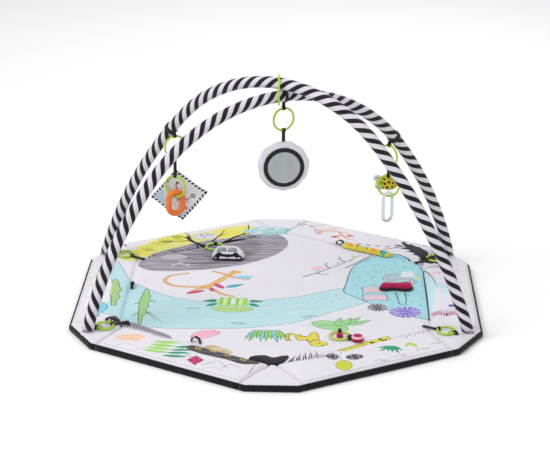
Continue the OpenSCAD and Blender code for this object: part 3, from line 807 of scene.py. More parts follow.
def build_sleeve(name, arch):
    """The striped sleeve: a fabric tube whose seam runs underneath, with stripes that wind round it."""
    line = arch_line(arch)
    around = 24
    verts, turns, walked = [], [], 0.0
    for i, (point, outward) in enumerate(line):
        ahead = line[min(i + 1, len(line) - 1)][0] - line[max(i - 1, 0)][0]
        ahead /= np.linalg.norm(ahead)
        facing = np.cross(ahead, outward)       # to the viewer's side
        if i:
            walked += np.linalg.norm(point - line[i - 1][0])
        for j in range(around + 1):
            angle = -math.pi / 2 + 2 * math.pi * j / around
            pucker = 0.5 * noise.noise(Vector((walked / 16, math.cos(angle) * 1.3, math.sin(angle) * 1.3)))
            r = SLEEVE_R - 0.35 + 0.7 * pucker
            verts.append(point + r * (math.cos(angle) * facing + math.sin(angle) * outward))
            turns.append((walked - SLEEVE_R * angle) / STRIPE)
    k = around + 1
    faces = [[i * k + j, i * k + j + 1, (i + 1) * k + j + 1, (i + 1) * k + j]
             for i in range(len(line) - 1) for j in range(around)]
    for first, order in ((0, 1), ((len(line) - 1) * k, -1)):
        middle = len(verts)
        verts.append(np.mean(verts[first:first + around], 0))
        turns.append(turns[first])
        faces += [[first + j, first + j + 1, middle][::order] for j in range(around)]
    piece = make(name + "_print", verts, faces, STRIPED, "arch_frame")
    layer = piece.data.attributes.new("stripe", "FLOAT", "POINT")
    layer.data.foreach_set("value", turns)
    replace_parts(piece, name)
    return line


def build_pockets():
    """The cloth rings that the feet stand in, with a wavy rolled rim."""
    # the section of a pocket's side, as (radius, height)
    profile = [(13.4, 2), (13.7, 12), (13.9, 18), (13.4, 20.6), (12.2, 21.6), (10.9, 20.8), (10.3, 17),
               (10.2, 4.8)]
    around = 32
    faces = ring_faces(around, len(profile), around)
    pockets = []
    for x, y in FEET:
        verts = [(x + r * math.cos(a), y + r * math.sin(a), z + (0.3 * math.sin(5 * a) if z > 17 else 0))
                 for a in np.linspace(0, 2 * math.pi, around, endpoint=False) for r, z in profile]
        pocket = make("pocket", verts, faces, PRINTED, "mat")
        paint(pocket, [(*WHITE, 1.0)] * len(faces))
        pockets.append(pocket)
    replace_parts(joined("pocket_sleeves", pockets), "pole_pockets")


# ---------- webbing ----------

STRAP_W = 8
STRAP_T = 1.2
EYE_R = 4.2         # from a bar's middle to the webbing round it
LAYER = 0.75        # from the middle of a doubled strap to each of its layers


def loop_strap(name, x, y, high, low, yaw_high, yaw_low, body, round_high=True, round_low=True):
    """A doubled strap between two bars: it goes round each one and is sewn together between them.
    The bars' headings are in degrees, and the strap twists from one to the other."""
    path, sides = [], []

    def add(n, z, share):
        yaw = math.radians(yaw_high + (yaw_low - yaw_high) * share)
        along = (math.cos(yaw), math.sin(yaw), 0)
        path.append((x - along[1] * n, y + along[0] * n, z))
        sides.append(along)

    if round_high:
        for a in np.linspace(-math.pi * 0.28, math.pi * 1.28, 15):
            add(EYE_R * math.cos(a), high + EYE_R * math.sin(a), 0)
    else:
        add(LAYER, high, 0)
        add(-LAYER, high, 0)
    top = high - (EYE_R + 2.5 if round_high else 2)
    base = low + (EYE_R + 2.5 if round_low else 2)
    between = np.linspace(top, base, 6)
    for z in between:
        add(-LAYER, z, (high - z) / (high - low))
    if round_low:
        for a in np.linspace(math.pi * 0.72, math.pi * 2.28, 15):
            add(EYE_R * math.cos(a), low + EYE_R * math.sin(a), 1)
    else:
        add(-LAYER, low, 1)
        add(LAYER, low, 1)
    for z in between[::-1]:
        add(LAYER, z, (high - z) / (high - low))
    return sweep(name, path, tape(STRAP_W, STRAP_T), WEBBING, body, closed=True, sides=sides)


def band_strap(name, node, line, heading, pivot, eye_yaw, width):
    """A webbing band round a sleeve, and the loop under it that holds a link."""
    band_r = SLEEVE_R + 1.2
    at, outward = min(line, key=lambda p: math.dist((p[0] - p[1] * band_r)[:2], pivot[:2]))
    flat = Vector(turned([(1, 0)], heading)[0]).to_3d()
    along = np.cross(outward, np.cross(flat, outward))
    along /= np.linalg.norm(along)
    facing = np.cross(along, outward)
    ring = [at + band_r * (math.cos(a) * facing + math.sin(a) * outward)
            for a in np.linspace(0, 2 * math.pi, 28, endpoint=False)]
    band = sweep(name + "_band", ring, tape(width, STRAP_T), WEBBING, "arch_frame",
                 closed=True, sides=[along] * len(ring))
    low_point = at - outward * band_r
    strap = loop_strap(name, pivot[0], pivot[1], low_point[2] + 1.2, pivot[2], heading, eye_yaw,
                       "arch_frame", round_high=False)
    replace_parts(joined(name, [strap, band]), node)


def flat_strap(name, loop, direction, length, body, width=STRAP_W, material=None):
    """A strap that lies on the mat and goes round the bar of a ring that lies flat there.
    loop is the bar's place, and the strap runs off in the given direction in degrees."""
    out = np.array((math.cos(math.radians(direction)), math.sin(math.radians(direction)), 0))
    side = np.array((-out[1], out[0], 0))
    lie = 20.6
    path = [(length, lie + 1.5), (length * 0.5, lie + 1.6), (7, lie + 2.2)]
    path += [(EYE_R * math.cos(a), FLAT_BAR_Z + EYE_R * math.sin(a))
             for a in np.linspace(math.pi * 0.2, math.pi * 1.62, 12)]
    path += [(7, lie + 0.4), (length * 0.5, lie + 0.3), (length, lie + 0.2)]
    points = [np.array((*loop, 0)) + out * u + np.array((0, 0, max(z, 20.5))) for u, z in path]
    return sweep(name, points, tape(width, 1.1), material or WEBBING, body,
                 sides=[side] * len(points))


def crease_loop(angle, along):
    """A loop of webbing that stands up beside a crease."""
    middle = np.array((*turned([(PAD - 7, -along)], angle)[0], 0))
    outward = np.array((*turned([(1, 0)], angle)[0], 0))
    run = np.array((outward[1], -outward[0], 0))
    arc = [middle + run * 11.5 * math.cos(a) + np.array((0, 0, 20.4 + 12.4 * math.sin(a) ** 0.7))
           for a in np.linspace(math.pi, 0, 15)]
    path = [arc[0] + run * -2, *arc, arc[-1] + run * 2]
    return sweep("crease_loop", path, tape(8, 1.4), WEBBING, "mat",
                 sides=[outward] * len(path))


def build_mat_webbing():
    """The straps and loops that are sewn to the mat."""
    corner_straps, foot_loops = [], []
    bar = (RETAINER_D - BAR_D) / 2
    for corner in ARCH_CORNERS:
        angle = CORNERS[corner]
        inner = turned([(CORNER_R + RETAINER_OUT - bar, 0)], angle)[0]
        outer = turned([(CORNER_R + RETAINER_OUT + bar, 0)], angle)[0]
        corner_straps.append(flat_strap("corner_strap", inner, angle + 180, 40, "mat"))
        foot_loops.append(flat_strap("foot_loop", outer, angle, 9, "mat"))
    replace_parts(joined("corner_strap_webbing", corner_straps), "corner_straps")
    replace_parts(joined("foot_loop_webbing", foot_loops), "foot_loops")
    toy_loops = [flat_strap("toy_loop", pivot_mm(joint)[:2], 90, length, "mat")
                 for joint, length in (("car_ring_lift", 10), ("disc_toy_lift", 20))]
    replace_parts(joined("toy_loop_webbing", toy_loops), "toy_loops")
    crease_loops = [crease_loop(angle, along) for angle, along in ((180, 16), (-120, 0), (60, -25))]
    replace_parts(joined("crease_loop_webbing", crease_loops), "crease_loops")


def build_hanging_webbing(upper_line, lower_line):
    """The bands round the sleeves, and the straps between the rings that hang."""
    left, right, middle = (pivot_mm(joint)
                           for joint in ("left_hanger_swing", "right_hanger_swing", "mirror_link_swing"))
    band_strap("left_arch_webbing", "left_arch_strap", upper_line, UPPER["heading"], left, LEFT_LINK_YAW, 12)
    band_strap("right_arch_webbing", "right_arch_strap", lower_line, LOWER["heading"], right,
               RIGHT_LINK_YAW, 12)
    band_strap("crossing_webbing", "crossing_strap", lower_line, LOWER["heading"], middle,
               MIRROR_LINK_YAW, 8)
    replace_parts(loop_strap("left_toy_webbing", left[0], left[1], left[2] - LINK_PITCH,
                           pivot_mm("left_ring_swing")[2], LEFT_LINK_YAW, LEFT_RING_YAW, "left_hanger"),
                "left_strap")
    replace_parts(loop_strap("right_toy_webbing", right[0], right[1], right[2] - LINK_PITCH,
                           pivot_mm("right_ring_swing")[2], RIGHT_LINK_YAW, RIGHT_RING_YAW,
                           "right_hanger"),
                "right_strap")
    mirror = pivot_mm("mirror_swing")
    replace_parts(loop_strap("mirror_webbing", mirror[0], mirror[1], mirror[2],
                           box_mm("mirror_strap")[0][2] - 4, MIRROR_LINK_YAW, MIRROR_YAW, "mirror_toy",
                           round_low=False),
                "mirror_strap")


# ---------- toys ----------

def facing_place(x, y, z, yaw, tilt=0.0, spin=0.0):
    """A frame whose X and Y are a hanging toy's width and height, and whose Z is towards the viewer."""
    return (Matrix.Translation((x, y, z)) @ Matrix.Rotation(math.radians(yaw), 4, "Z")
            @ Matrix.Rotation(math.radians(tilt), 4, "X") @ Matrix.Rotation(math.radians(spin), 4, "Y")
            @ Matrix.Rotation(math.pi / 2, 4, "X"))


def pillow(half, radius, ripple=0.6, scale=14, seed=0.0, middle=0.0):
    """The front and the back of a stuffed piece that is symmetrical about its middle."""
    rise = crowned(0.6, half, radius)

    def front(x, y, d):
        ease = min(d / radius, 1)
        return middle + rise(x, y, d) - ease * ripple * (0.5 + 0.5 * ruffle(x, y, scale, seed))

    def back(x, y, d):
        ease = min(d / radius, 1)
        return middle - rise(x, y, d) + ease * ripple * (0.5 + 0.5 * ruffle(x, y, scale, seed + 9))
    return front, back


def build_mirror():
    low, high = box_mm("mirror_cushion")
    x, y, _ = pivot_mm("mirror_swing")
    z = (low[2] + high[2]) / 2
    place = facing_place(x, y, z, MIRROR_YAW)
    outline = []
    for a in np.linspace(0, 2 * math.pi, 96, endpoint=False):
        r = 60.6 + 0.9 * math.sin(11 * a) + 0.6 * math.sin(5 * a + 1)      # a puckered seam
        outline.append((r * math.cos(a), r * math.sin(a)))
    front, back = pillow(11.8, 15, 0.9, 13, 2.0)
    cushion = quilt("mirror_cushion_print", outline, front, back, [], "mirror_toy", grid=7,
                    insets=(1.2, 3, 6, 10), under=WHITE, place=place)
    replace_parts(cushion, "mirror_cushion")
    # the black ring: a tube of fabric, gathered along its length
    profile = [(5.2 * math.cos(a), 12.6 + 3.2 * math.sin(a))
               for a in np.linspace(0, 2 * math.pi, 14, endpoint=False)]
    around, bezel_r = 96, 42.8
    verts = []
    for i in range(around):
        a = 2 * math.pi * i / around
        grow = 1 + 0.05 * math.sin(24 * a)
        verts += [place @ Vector(((bezel_r + o * grow) * math.cos(a), (bezel_r + o * grow) * math.sin(a), h))
                  for o, h in profile]
    bezel = make("mirror_bezel_ring", verts, ring_faces(around, len(profile), around), BLACK_SATIN,
                 "mirror_toy")
    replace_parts(bezel, "mirror_bezel")
    glass = quilt("mirror_sheet", oval_points(0, 0, 39, 39, count=64),
                  lambda x, y, d: 14.0 + 0.5 * ruffle(x, y, 30, 3.0), level(12.4), [], "mirror_toy",
                  grid=6, insets=(1.5, 4), place=place, material=MIRROR)
    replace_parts(glass, "mirror_face")


CLOTH = 100         # the crinkle cloth's side
TRIM = 7            # the width of its bound edge
CLOTH_WHITE = srgb("eceaf0")


def held_in(points, margin):
    """Points moved inside the cloth's edge, which hangs from its corner at 0, 0."""
    return [(min(max(p, margin), CLOTH - margin), min(max(q, margin - CLOTH), -margin)) for p, q in points]


def cloth_art():
    """The cloth's bound edges in checks, and a few twigs, leaves and dots."""
    art = []
    side = CLOTH
    for edge in ([(0, 0), (side, 0), (side, -TRIM), (0, -TRIM)],
                 [(0, -side), (side, -side), (side, TRIM - side), (0, TRIM - side)],
                 [(0, 0), (TRIM, 0), (TRIM, -side), (0, -side)],
                 [(side, 0), (side - TRIM, 0), (side - TRIM, -side), (side, -side)]):
        shape(WHITE, held_in(edge, 0.3), where=art)
    for i in range(10):
        p = 1.2 + i * 10.2
        for check in ([(p, -TRIM), (p + 5, -TRIM), (p + 8, -0.4), (p + 3, -0.4)],
                      [(p, 0.4 - side), (p + 5, 0.4 - side), (p + 8, TRIM - side), (p + 3, TRIM - side)],
                      [(0.4, -p), (0.4, -p - 5), (TRIM, -p - 8), (TRIM, -p - 3)],
                      [(side - TRIM, -p), (side - TRIM, -p - 5), (side - 0.4, -p - 8), (side - 0.4, -p - 3)]):
            shape(INK, held_in(check, 0.4), where=art)
    pale_blue, sage, brown = srgb("b3d3e4"), srgb("9db58a"), srgb("8a6a52")
    blob(pale_blue, [(8, -92), (8, -62), (22, -74), (36, -84), (52, -92)], 0.2, where=art)
    blob(pale_blue, [(70, -92), (92, -92), (92, -74), (82, -82)], 0.2, where=art)
    stroke(brown, [(24, -26), (28, -34), (36, -42), (33, -52), (44, -50)], 3.4, 2.2, where=art)
    stroke(brown, [(36, -42), (46, -40), (52, -48)], 2.6, 1.6, where=art)
    oval(brown, 26, -26, 4.4, 3.6, where=art)
    oval(srgb("6f7a5c"), 78, -30, 6.4, 5.4, where=art)
    oval(srgb("b9c4a4"), 78, -30, 3.4, 2.8, where=art)
    stroke(srgb("8a5a86"), [(77, -36), (74, -46), (78, -54)], 2.2, 1.4, where=art)
    for p, q, t in ((62, -58, 40), (68, -66, -20), (58, -68, 110)):
        leaf(sage, p, q, 17, 7, t, where=art)
    leaf(srgb("3d7a4c"), 72, -74, 14, 5, 60, where=art)
    oval(srgb("c78ac0"), 84, -68, 5, 4.4, where=art)
    stroke(MAGENTA, [(84, -72), (82, -80)], 1.8, where=art)
    for p, q in ((20, -52), (48, -22), (60, -34), (30, -72), (50, -80)):
        stroke(srgb("9f9aab"), [(p - 3, q), (p, q + 2.6), (p + 4, q)], 1.0, where=art)
    return art


def build_cloth():
    x, y, z = pivot_mm("cloth_swing")
    place = facing_place(x, y, z, 0, 7, 39)

    def wave(p, q):
        far = min(math.hypot(p, q) / 60, 1.5)
        return -far * (2.0 + 2.2 * math.sin(p / 15 + 0.6) * math.sin(q / 19 + 1.1)) * 0.9

    def front(p, q, d):
        return wave(p, q) + 1.1

    def back(p, q, d):
        return wave(p, q) - 1.1

    cloth = quilt("crinkle_cloth_print", corners(0, -CLOTH, CLOTH, CLOTH), front, back, cloth_art(),
                  "cloth_toy", grid=6, insets=(1.5, 4), base=CLOTH_WHITE, side=LILAC_GREY,
                  under=CLOTH_WHITE, place=place, back_art=True)
    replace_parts(cloth, "crinkle_cloth")


def build_plush():
    low, high = box_mm("spotted_plush")
    place = facing_place((low[0] + high[0]) / 2, (low[1] + high[1]) / 2, (low[2] + high[2]) / 2, 0)
    outline = curve([(-31, 10), (-22, 18), (-10, 15), (2, 21), (14, 19), (24, 22), (30, 13), (26, 2),
                     (30, -8), (22, -18), (8, -21), (-6, -19), (-16, -21), (-27, -12), (-24, -1)], 4,
                    closed=True)
    art = []
    blob(WHITE, [(-31, 10), (-22, 19), (-12, 14), (-16, 4), (-26, 2)], where=art)
    blob(WHITE, [(-28, -12), (-16, -22), (-8, -18), (-14, -8), (-24, -4)], where=art)
    stroke(INK, [(-27, 9), (-20, 12), (-15, 9)], 1.6, where=art)
    stroke(INK, [(-24, -11), (-17, -15), (-12, -14)], 1.6, where=art)
    blob(PALE_LEAF, [(14, 19), (25, 22), (30, 13), (24, 7), (15, 11)], where=art)
    for i in range(4):
        stroke(INK, [(16 + 3.4 * i, 19 - i), (17 + 3.4 * i, 9)], 1.3, where=art)
    for x, y, r in ((-4, 8, 3.4), (6, 12, 3), (-2, -4, 3.6), (8, 0, 3.8), (18, -2, 3.2), (4, -13, 3.6),
                    (16, -12, 3), (-9, -1, 2.6), (-6, -14, 2.2), (12, 7, 1.8), (23, -9, 2), (0, 16, 2)):
        oval(INK, x, y, r, r * 0.8, 40 * r, where=art)
    front, back = pillow(4.6, 8, 0.4, 9, 5.0, middle=-1.4)
    mustard = srgb("dcc63f")
    plush = quilt("spotted_plush_print", outline, front, back, art, "plush_toy", grid=5,
                  insets=(1, 2.5, 5), base=mustard, side=mustard, under=mustard, place=place)
    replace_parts(plush, "spotted_plush")


def car_art(x0, y0, x1):
    """The soft car's windows, bonnet line, wheels and lamp. Its corner is at x0, y0."""
    art = []
    for a, b in ((x0 + 14, x0 + 36), (x0 + 41, x0 + 62)):
        frame_loop = [(a - 1.4, y0 + 6.2), (b + 1.4, y0 + 6.2), (b - 2, y0 + 21.4), (a + 2, y0 + 21.4)]
        shape(INK, frame_loop, where=art)
        shape(srgb("8b9c98"), [(a, y0 + 7.2), (b, y0 + 7.2), (b - 3, y0 + 20), (a + 3, y0 + 20)], where=art)
        # painted glint: a lighter diagonal streak across each pane
        stroke(srgb("b9c6c2"), [(a + 4, y0 + 9), (a + 9, y0 + 18)], 2, per=1, where=art)
    stroke(STONE, [(x0 + 6, y0 + 24), (x0 + 40, y0 + 26), (x1 - 6, y0 + 23)], 1.2, where=art)
    stroke(INK, [(x0 + 3, y0 + 4), (x0 + 20, y0 + 1.6), (x0 + 60, y0 + 1.6), (x1 - 3, y0 + 4)], 2.2,
           where=art)
    for x in (x0 + 17, x1 - 19):
        oval(INK, x, y0 + 2.6, 8, 2.6, where=art)
    oval(GOLD, x1 - 5, y0 + 12, 2.6, 3.6, where=art)
    return art


def build_car():
    low, high = box_mm("car_toy_cushion")
    x0, y0, x1, y1 = low[0] + 1, low[1] + 1, high[0] - 1, high[1] - 1
    outline = curve([(x0, y0 + 12), (x0 + 1, y1 - 16), (x0 + 10, y1 - 3), (x0 + 40, y1), (x1 - 14, y1 - 3),
                     (x1 - 1, y1 - 16), (x1, y0 + 12), (x1 - 10, y0 + 1), (x0 + 40, y0), (x0 + 10, y0 + 1)],
                    5, closed=True)
    middle = low[2] + 6
    rise, fall = crowned(0, high[2] - middle - 0.6, 17), crowned(0, middle - low[2], 5)

    def top(x, y, d):
        along = (x - x0) / (x1 - x0)
        cabin = 0.62 + 0.38 / (1 + math.exp(-(min(along - 0.1, 0.84 - along)) * 26))
        return middle + 0.6 + rise(x, y, d) * cabin - 0.4 * (1 + ruffle(x, y, 9, 3))

    def bottom(x, y, d):
        return middle - fall(x, y, d)

    car = quilt("car_cushion", outline, top, bottom, car_art(x0, y0, x1), "car_toy", grid=5,
                insets=(0.8, 1.8, 3.2, 5), side=INK, under=INK)
    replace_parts(car, "car_toy_cushion")
    ring_x, ring_y, _ = pivot_mm("car_lift")
    tag = flat_strap("car_tag_webbing", (ring_x, ring_y), -45, 40, "car_toy", width=18, material=PINK_TAPE)
    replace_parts(tag, "car_toy_tag")


def build_bean():
    """The magenta cushion, on a dark base of the same outline."""
    cx, cy, _ = centre_mm("wing_base")
    bean = curve([(-41, -3), (-36, 9), (-22, 15), (-6, 12), (8, 13), (24, 18), (38, 12), (41, 0), (35, -12),
                  (20, -17), (4, -13), (-10, -12), (-26, -16), (-38, -12)], 4, closed=True)
    base = quilt("wing_base_print", [(cx + x, cy + y) for x, y in bean],
                 lambda x, y, d: 23.4 + min(d, 2) * 0.4, level(20.5), [],
                 "wing_toy", grid=6, insets=(1.2, 3), material=BLACK_SATIN)
    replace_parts(base, "wing_base")
    art = []
    # painted highlight: a pale pink stroke along the cushion's top, where the light falls on it
    stroke(PINK, [(cx - 26, cy + 4), (cx - 6, cy + 1), (cx + 20, cy + 7)], 2.4, 1.0, where=art)
    low, high = box_mm("wing_cushion")
    middle = low[2] + (high[2] - low[2]) * 0.15
    radius = 9
    rise, fall = crowned(0.5, high[2] - middle, radius), crowned(0.5, middle - low[2], radius * 0.7)

    def top(x, y, d):
        return middle + rise(x, y, d) - 0.5 * min(d / radius, 1) * (1 + ruffle(x, y, 10, 7.0)) / 2

    def bottom(x, y, d):
        return middle - fall(x, y, d)

    cushion = quilt("wing_cushion_with_painted_highlight", [(cx + x * 0.93, cy + y * 0.86 + 1.4) for x, y in bean], top,
                    bottom, art, "wing_toy", grid=5, insets=(1, 2.6, 5), base=CRIMSON,
                    side=CRIMSON, under=CRIMSON)
    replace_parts(cushion, "wing_cushion")


def ribbed_disc(name, x0, y0, r, height, art):
    """A soft disc with ribs round its middle."""
    rise = crowned(0.5, height * 0.52, 5)

    def top(x, y, d):
        rib = 0.7 if math.hypot(x - x0, y - y0) % 3.6 < 1.5 else 0
        return 20.4 + height * 0.45 + rise(x, y, d) - rib * min(d / 3, 1)

    return quilt(name, oval_points(x0, y0, r, r, count=40), top, level(20.5), art, "disc_toy",
                 grid=2.4, insets=(0.8, 1.8), base=CRIMSON, side=CRIMSON, under=CRIMSON)


def build_disc_toy():
    low, high = box_mm("disc_toy_discs")
    big = np.array((high[0] - 14, low[1] + 14))
    ring = centre_mm("disc_toy_ring")[:2]
    art = []
    oval(PINK, *big, 13.9, 13.9, where=art, count=40)
    oval(CRIMSON, *big, 10.6, 10.6, where=art, count=32)
    discs = [ribbed_disc("disc_big", *big, 14, 12, art), ribbed_disc("disc_small", *ring, 7.5, 9, [])]
    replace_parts(joined("ribbed_discs", discs), "disc_toy_discs")
    towards = (big - ring) / np.linalg.norm(big - ring)
    bar = ring + towards * 22.5
    strap = flat_strap("disc_strap", bar, math.degrees(math.atan2(towards[1], towards[0])), 30, "disc_toy",
                       width=16)
    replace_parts(strap, "disc_toy_straps")


def build_strip():
    """The spotted tube of fabric that is sewn along a crease."""
    a, b = -11.6, 120.4         # its ends, along the crease

    def at(along, inward):
        return turned([(PAD - inward, -along)], WALLS["rear_right"])[0]

    loop = curve([(a, 4), (a + 0.5, 20), (a + 30, 21), (b - 30, 21), (b - 0.5, 20), (b, 4), (b - 30, 3),
                  (a + 30, 3)], 5, closed=True)
    outline = [at(*p) for p in loop]
    spots = []
    for along, inward, r in ((-2, 12, 4), (22, 8, 3.4), (30, 16, 3), (58, 15, 3), (66, 8, 4), (90, 9, 3),
                             (98, 16, 3.4), (112, 10, 4)):
        spots.append((INK, 0, ccw(oval_points(*at(along, inward), r, r * 0.7, 15, 14))))
    for along, inward, color in ((10, 14, ORANGE), (44, 10, TEAL), (78, 14, ORANGE), (106, 16, TEAL)):
        spots.append((color, 0, ccw(oval_points(*at(along, inward), 9, 5.5, -30, 18))))
    spots.sort(key=lambda s: s[0] == INK)
    top_z = box_mm("spotted_strip")[1][2]
    rise = crowned(1, top_z - 20.4, 8)
    straw = srgb("e8d44c")
    strip = quilt("spotted_strip_print", outline,
                  lambda x, y, d: 20.4 + rise(x, y, d) + 0.4 * ruffle(x, y, 9, 4),
                  level(20.3), spots, "mat", grid=5, insets=(1, 2.6, 5), base=straw,
                  side=straw)
    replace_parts(strip, "spotted_strip")


# ---------- the prints on the mat ----------

# Each function draws one part of the scene with points in plan, in millimetres from the mat's middle.

def draw_river():
    """The river, from the left wall to the pond."""
    river = [(-440, 160), (-405, 178), (-360, 60), (-280, -20), (-205, -58), (-130, -66), (-65, -60),
             (0, -42), (55, -25), (165, 30), (200, -20), (218, -52), (160, -95), (55, -175), (0, -198),
             (-55, -215), (-125, -222), (-195, -225), (-270, -222), (-345, -214), (-372, -165),
             (-405, -150), (-440, -60)]
    blob(RIVER, river, 0.12, outline=SLATE, width=1.5)
    strokes(WHITE,
            [[(-350, -70), (-300, -110), (-240, -118), (-180, -108)],
             [(-170, -170), (-100, -178), (-40, -160)], [(-30, -95), (30, -90), (80, -70)],
             [(10, -140), (60, -118), (110, -100)]], 3.0, 1.0)
    for i in range(70):
        t = (i * GOLDEN_PART) % 1
        x = -380 + 560 * t
        y = -128 + 26 * math.sin(t * 6) + 58 * math.sin(i * 1.7)
        stroke(srgb("a7d2dc"), [(x, y), (x + 16, y + 3), (x + 34, y + 2)], 2.0, 0.8, per=2)
    for i in range(16):
        x = 20 + 11 * i
        oval(srgb("4d8ea6"), x, -70 + 3.4 * i + 16 * math.sin(i * 2.4), 2.0, 1.5, count=8)


def draw_pond():
    """The pond and its bank, with teal specks."""
    pond = [(160, 5), (166, 60), (172, 110), (182, 160), (205, 205), (240, 244), (282, 258), (318, 238),
            (340, 205), (356, 165), (357, 120), (357, 60), (357, 0), (357, -60), (357, -110), (352, -150),
            (304, -130), (255, -94), (215, -55), (182, -20)]
    shore = ccw(curve(pond, 3, closed=True))
    blob(POND, pond, 0.08, outline=NAVY, width=2.4)
    blob(srgb("c3e6ee"), [(359, 150), (372, 120), (382, 70), (380, 20), (372, -60), (360, -130)], 0.2)
    stroke(INK, [(352, 172), (368, 132), (380, 84), (384, 50)], 2.6, 1.6)
    stroke(NAVY, [(357, 160), (358, 60), (358, -40), (356, -150)], 3.0, 3.6)
    for i in range(58):
        a, r = i * GOLDEN_ANGLE, 8 + 12.6 * math.sqrt(i)
        x, y = 272 + r * 1.02 * math.cos(a), 65 + r * 1.75 * math.sin(a)
        if inside([(x, y)], shore)[0]:
            leaf(TEAL if i % 3 else srgb("2c7fa8"), x, y, 9 + i % 5, 3.2, (i * 47) % 360)


def draw_grey_ground():
    """Grey hatched ground with white branches, behind on the left."""
    blob(srgb("7d7884"), [(-352, 172), (-318, 128), (-240, 126), (-150, 150), (-60, 196), (0, 262), (20, 330),
                          (-10, 392), (-70, 384), (-150, 352), (-240, 296), (-318, 244)], 0.5)
    blob(srgb("69636f"),
         [(-285, 200), (-220, 168), (-130, 192), (-60, 250), (-50, 320), (-120, 318), (-220, 262)], 0.45)
    blob(srgb("b3afba"), [(-300, 212), (-280, 236), (-248, 238), (-232, 220), (-262, 204)], 0.4)
    strokes(WHITE,
            [[(-268, 156), (-250, 180), (-242, 206)], [(-250, 180), (-230, 168), (-212, 172)],
             [(-230, 168), (-222, 154)], [(-150, 196), (-116, 214), (-84, 240)],
             [(-116, 214), (-98, 206)]], 3.2, 1.2)


def draw_yellow_foliage():
    """Yellow foliage and a dark tree, behind on the left."""
    blob(srgb("e4df6a"),
         [(-392, 200), (-366, 196), (-318, 240), (-262, 280), (-200, 322), (-130, 356), (-70, 392),
          (-76, 436), (-120, 440), (-180, 404), (-236, 372), (-300, 336), (-350, 290), (-384, 240)], 0.35)
    for x, y, s, t in ((-352, 238, 40, 56), (-338, 262, 50, 78), (-316, 300, 52, 66), (-290, 330, 50, 82),
                       (-270, 356, 46, 66), (-262, 320, 40, 30)):
        star_leaf(YELLOW, x, y, s, 150, 6, t)
    for x, y, s, t in ((-340, 250, 34, 60), (-300, 310, 36, 70), (-275, 340, 32, 50)):
        star_leaf(MOSS, x, y, s, 110, 5, t)
    for x, y, s, t in ((-150, 356, 40, 70), (-122, 378, 44, 80), (-96, 402, 38, 60), (-140, 396, 34, 110)):
        star_leaf(YELLOW, x, y, s, 140, 6, t)
    blob(srgb("d9d6de"), [(-226, 346), (-218, 374), (-194, 386), (-168, 370), (-168, 346), (-198, 336)], 0.25,
         outline=STONE, width=1.2)
    for x, y in ((-206, 372), (-190, 374), (-198, 360), (-180, 362)):
        oval(INK, x, y, 3.4, 3.8, count=10)
    for line, start, stop in (([(-244, 356), (-224, 318), (-198, 304), (-160, 320), (-122, 346),
                                (-92, 360)], 11, 5),
                              ([(-150, 326), (-118, 362), (-96, 384), (-86, 424), (-88, 450)], 7, 2.4),
                              ([(-100, 376), (-72, 392), (-58, 418)], 4, 1.6),
                              ([(-176, 326), (-158, 366), (-148, 404)], 5, 2),
                              ([(-158, 366), (-136, 384)], 3, 1.4),
                              ([(-228, 330), (-262, 324), (-300, 318), (-332, 296)], 5, 2),
                              ([(-234, 342), (-262, 358), (-300, 352)], 4, 1.6),
                              ([(-232, 346), (-242, 370), (-256, 396)], 4.4, 1.6),
                              ([(-280, 322), (-296, 304), (-318, 292)], 3, 1.4),
                              ([(-214, 312), (-212, 288), (-224, 272)], 4, 1.6)):
        stroke(INK, line, start, stop)


def draw_blue_bushes():
    """Pale blue bushes at the back."""
    for x, y, r in ((-78, 402, 22), (-50, 420, 26), (-18, 430, 24), (12, 424, 20), (-34, 396, 20),
                    (0, 402, 18)):
        oval(BUSH, x, y, r, r * 0.72, 12, 0.15)
    for x, y, r in ((-50, 424, 12), (-12, 432, 11), (10, 414, 9)):
        oval(srgb("c9eaec"), x, y, r, r * 0.6, 12)


def draw_rear_right():
    """Dark stems, rows of triangles, orange branches and a long dark leaf, behind on the right."""
    strokes(INK,
            [[(45, 480), (62, 462), (75, 450), (92, 424), (105, 400)], [(75, 450), (98, 452), (118, 462)],
             [(62, 462), (52, 440)], [(92, 424), (84, 408)]], 2.4, 1.2)
    for i in range(9):
        for x, y in ((178 + 24 * i, 440 - 15.5 * i), (128 + 24 * i, 336 - 5 * i)):      # two rows
            shape(MARK, [(x - 9, y + 4), (x + 9, y + 2), (x + 2, y - 9)])
            shape(srgb("c9c5d0"), [(x - 4, y + 2), (x + 4, y + 1), (x + 1, y - 4)])
    stroke(MARK, [(160, 446), (230, 412), (300, 366), (372, 316)], 1.3)
    strokes(srgb("dd8a4a"),
            [[(96, 396), (126, 410), (160, 404), (182, 388)],
             [(150, 404), (160, 380), (176, 356), (196, 344)], [(134, 372), (158, 378), (180, 372)],
             [(106, 384), (90, 402), (112, 420), (146, 424)]], 5, 3)
    leaf(MAGENTA, 170, 384, 26, 9, -30)
    leaf(CRIMSON, 128, 366, 26, 8, 10)
    leaf(INK, 404, 196, 172, 42, 124)
    for i in range(6):
        leaf(INK, 396 - i * 15, 212 + i * 20, 34, 10, 60 + 8 * i)
        leaf(INK, 392 - i * 15, 206 + i * 20, 30, 9, 178 - 4 * i)


def draw_branches():
    """Branches and curves right of the middle."""
    strokes(srgb("37323c"),
            [[(60, 100), (92, 124), (125, 155), (165, 200), (205, 250)],
             [(125, 155), (116, 178), (120, 196)],
             [(165, 160), (195, 200), (235, 255), (272, 286), (310, 300), (345, 280), (365, 235)],
             [(92, 124), (110, 118), (124, 122)], [(165, 200), (152, 220), (150, 238)]], 3.6, 1.6)
    for x, y, t in ((100, 130, 120), (122, 158, 20), (150, 186, 110), (172, 208, 10), (190, 232, 120)):
        leaf(srgb("9cc9b2"), x, y, 18, 7, t)
    oval(PINK, 95, 155, 17, 11, 30, 0.3)


